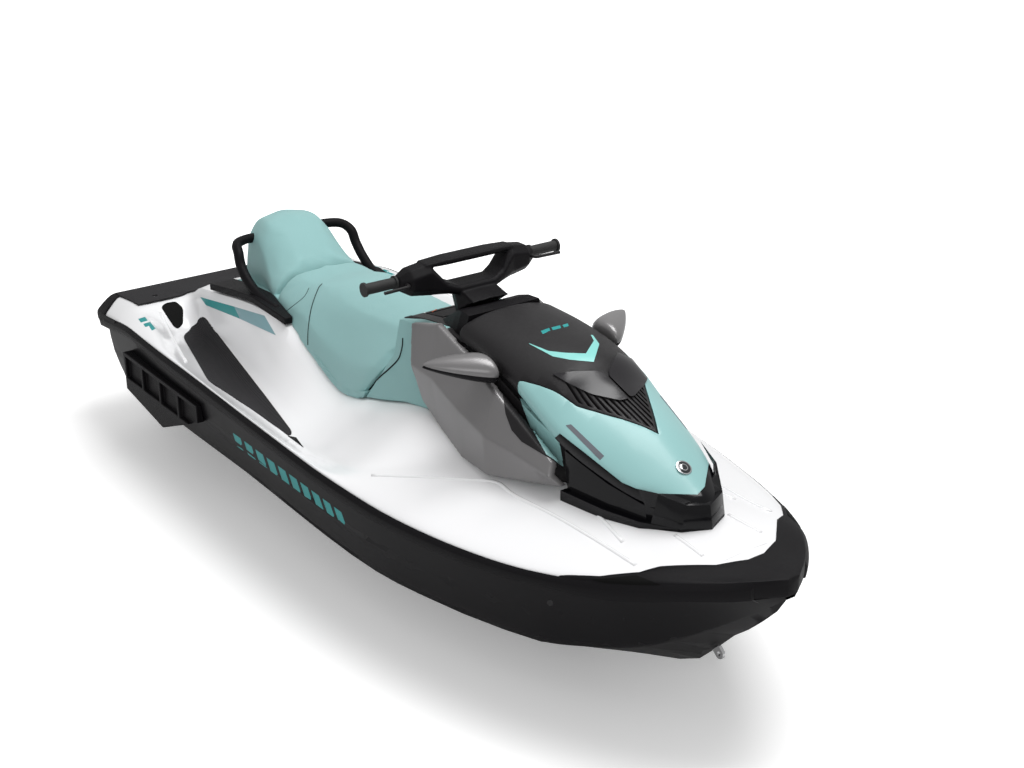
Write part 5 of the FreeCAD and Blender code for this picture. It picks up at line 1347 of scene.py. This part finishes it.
def makeHandles(settings):
    line = curved([Vector((x, -y, z)) for x, y, z in settings["line"]])
    handle = pipeAlong("grabHandles", line, settings["radius"])
    mirrorAcross(handle)
    bpy.ops.object.shade_smooth()
    dress(handle, materials["grainBlack"], bodyOf["grab_handles"], slots["grab_handles"], "grab_handles")


makeHandles(handleSettings)

# Mirrors: pointed oval shells, a black shell under each, glass on the rear
mirrorSettings = {
    "tip": (0.497, 0.392, 0.604), "root": (0.607, 0.215, 0.585), "length": 0.062, "height": 0.044,
    "rows": [
        (0, 0.02), (0.04, 0.14), (0.15, 0.32), (0.35, 0.6), (0.6, 0.84), (0.82, 1), (0.93, 0.97),
        (0.985, 0.8), (1, 0.45),
    ],
    "around": 20, "lean": 1 / 6, "flat": 0.75, "rake": 0.5, "turn": 0.12, "under": (0.003, 0, 0.009),
    "glassAt": 0.62, "glassBox": ((-0.2, -0.085, -0.022), (-0.012, 0.075, 0.016)), "glassStand": (0.0012, 0, 0),
}


def makeMirrors(settings):
    tip, root = Vector(settings["tip"]), Vector(settings["root"])
    sections = []
    for part, size in settings["rows"]:
        middle = tip.lerp(root, part)
        ring = []
        for step in range(settings["around"] + 1):
            turn = 2 * math.pi * step / settings["around"]
            ahead, up = math.cos(turn) * settings["length"] * size, math.sin(turn) * settings["height"] * size
            if up < 0:
                up *= settings["flat"]
            lean = settings["lean"] * part * ahead
            ring.append(middle + Vector((ahead - up * settings["rake"], ahead * settings["turn"], up + lean)))
        sections.append(ring)
    shell = gridSkin("mirrorShell", sections)
    outward(shell)
    fillHoles(shell)
    smoothed(shell, 1)
    smoothByAngle(shell, 60)
    lower, glass = duplicate(shell, "mirrorUnder"), duplicate(shell, "mirrorGlass")
    centre = tip.lerp(root, settings["glassAt"])
    tool = boxTool(*[centre + Vector(corner) for corner in settings["glassBox"]])
    carve(glass, [tool], "INTERSECT")
    dropTools([tool])
    for piece, shift in ((lower, settings["under"]), (glass, settings["glassStand"])):
        for vertex in piece.data.vertices:
            vertex.co -= Vector(shift)
    for piece, finish in ((shell, "silverGrey"), (lower, "grainBlack"), (glass, "mirrorGlass")):
        mirrorAcross(piece)
        smoothByAngle(piece, 60)
        nodes = ["mirror_housings"] if piece == shell else []
        dress(piece, materials[finish], bodyOf["mirror_housings"], slots["mirror_housings"], *nodes)


makeMirrors(mirrorSettings)
print("handles and mirrors done")

# Floor and light
studioSettings = {
    "floorSize": 60.0, "gap": 0.001, "glow": 0.24, "farGlow": 0.9, "near": 1.5, "far": 5.0, "world": 0.5,
}
lamps = {  # place, target, size, power
    "keyLamp": ((0.6, 1.2, 5.5), (0, 0, 0), 3.4, 262), "fillLamp": ((4.5, -4.5, 3.0), (0, 0, 0.2), 3.0, 60),
}


def makeStudio(settings):
    deselectAll()
    level = cadBox[0][2] - settings["gap"]
    bpy.ops.mesh.primitive_grid_add(
        x_subdivisions=4, y_subdivisions=4, size=settings["floorSize"], location=(0, 0, level)
    )
    floor = bpy.context.object
    floor.name = "studioFloor"
    placeInMesh(floor)
    material = bpy.data.materials.new("studioWhite")
    material.use_nodes = True
    tree = material.node_tree
    shader = tree.nodes["Principled BSDF"]
    shader.inputs["Base Color"].default_value = (0.8, 0.8, 0.8, 1)
    shader.inputs["Roughness"].default_value = 0.9
    shader.inputs["Specular IOR Level"].default_value = 0.1
    place = addNode(tree, "ShaderNodeTexCoord")
    away = addNode(tree, "ShaderNodeVectorMath", operation="LENGTH")
    rise = addNode(tree, "ShaderNodeMapRange", inputs={
        "From Min": settings["near"], "From Max": settings["far"],
        "To Min": settings["glow"], "To Max": settings["farGlow"],
    })
    glow = addNode(tree, "ShaderNodeEmission")
    path = addNode(tree, "ShaderNodeLightPath")
    bright = addNode(tree, "ShaderNodeBsdfDiffuse", inputs={"Color": (1, 1, 1, 1)})
    both = addNode(tree, "ShaderNodeAddShader")
    sight = addNode(tree, "ShaderNodeMixShader")
    wire(
        tree, (place, "Object", away, 0), (away, "Value", rise, "Value"), (rise, "Result", glow, "Strength"),
        (bright, "BSDF", both, 0), (glow, "Emission", both, 1), (path, "Is Camera Ray", sight, "Fac"),
        (shader, "BSDF", sight, 1), (both, "Shader", sight, 2),
        (sight, "Shader", tree.nodes["Material Output"], "Surface"),
    )
    floor.data.materials.append(material)
    world = bpy.data.worlds.new("studio")
    bpy.context.scene.world = world
    world.use_nodes = True
    sky = world.node_tree
    back = sky.nodes["Background"]
    rays = addNode(sky, "ShaderNodeLightPath")
    mix = addNode(sky, "ShaderNodeMix", data_type="FLOAT")
    mix.inputs[2].default_value = settings["world"]
    mix.inputs[3].default_value = 1.0
    wire(sky, (rays, "Is Camera Ray", mix, "Factor"), (mix, 0, back, "Strength"))
    back.inputs["Color"].default_value = (1, 1, 1, 1)


def addLamp(name, place, target, size, power):
    deselectAll()
    bpy.ops.object.light_add(type="AREA", location=place)
    lamp = bpy.context.object
    lamp.name = name
    lamp.data.size = size
    lamp.data.energy = power
    way = Vector(target) - Vector(place)
    lamp.rotation_euler = way.to_track_quat("-Z", "Y").to_euler()


makeStudio(studioSettings)
for name, lamp in lamps.items():
    addLamp(name, *lamp)
print("studio done")

bpy.context.scene.view_settings.view_transform = "Standard"
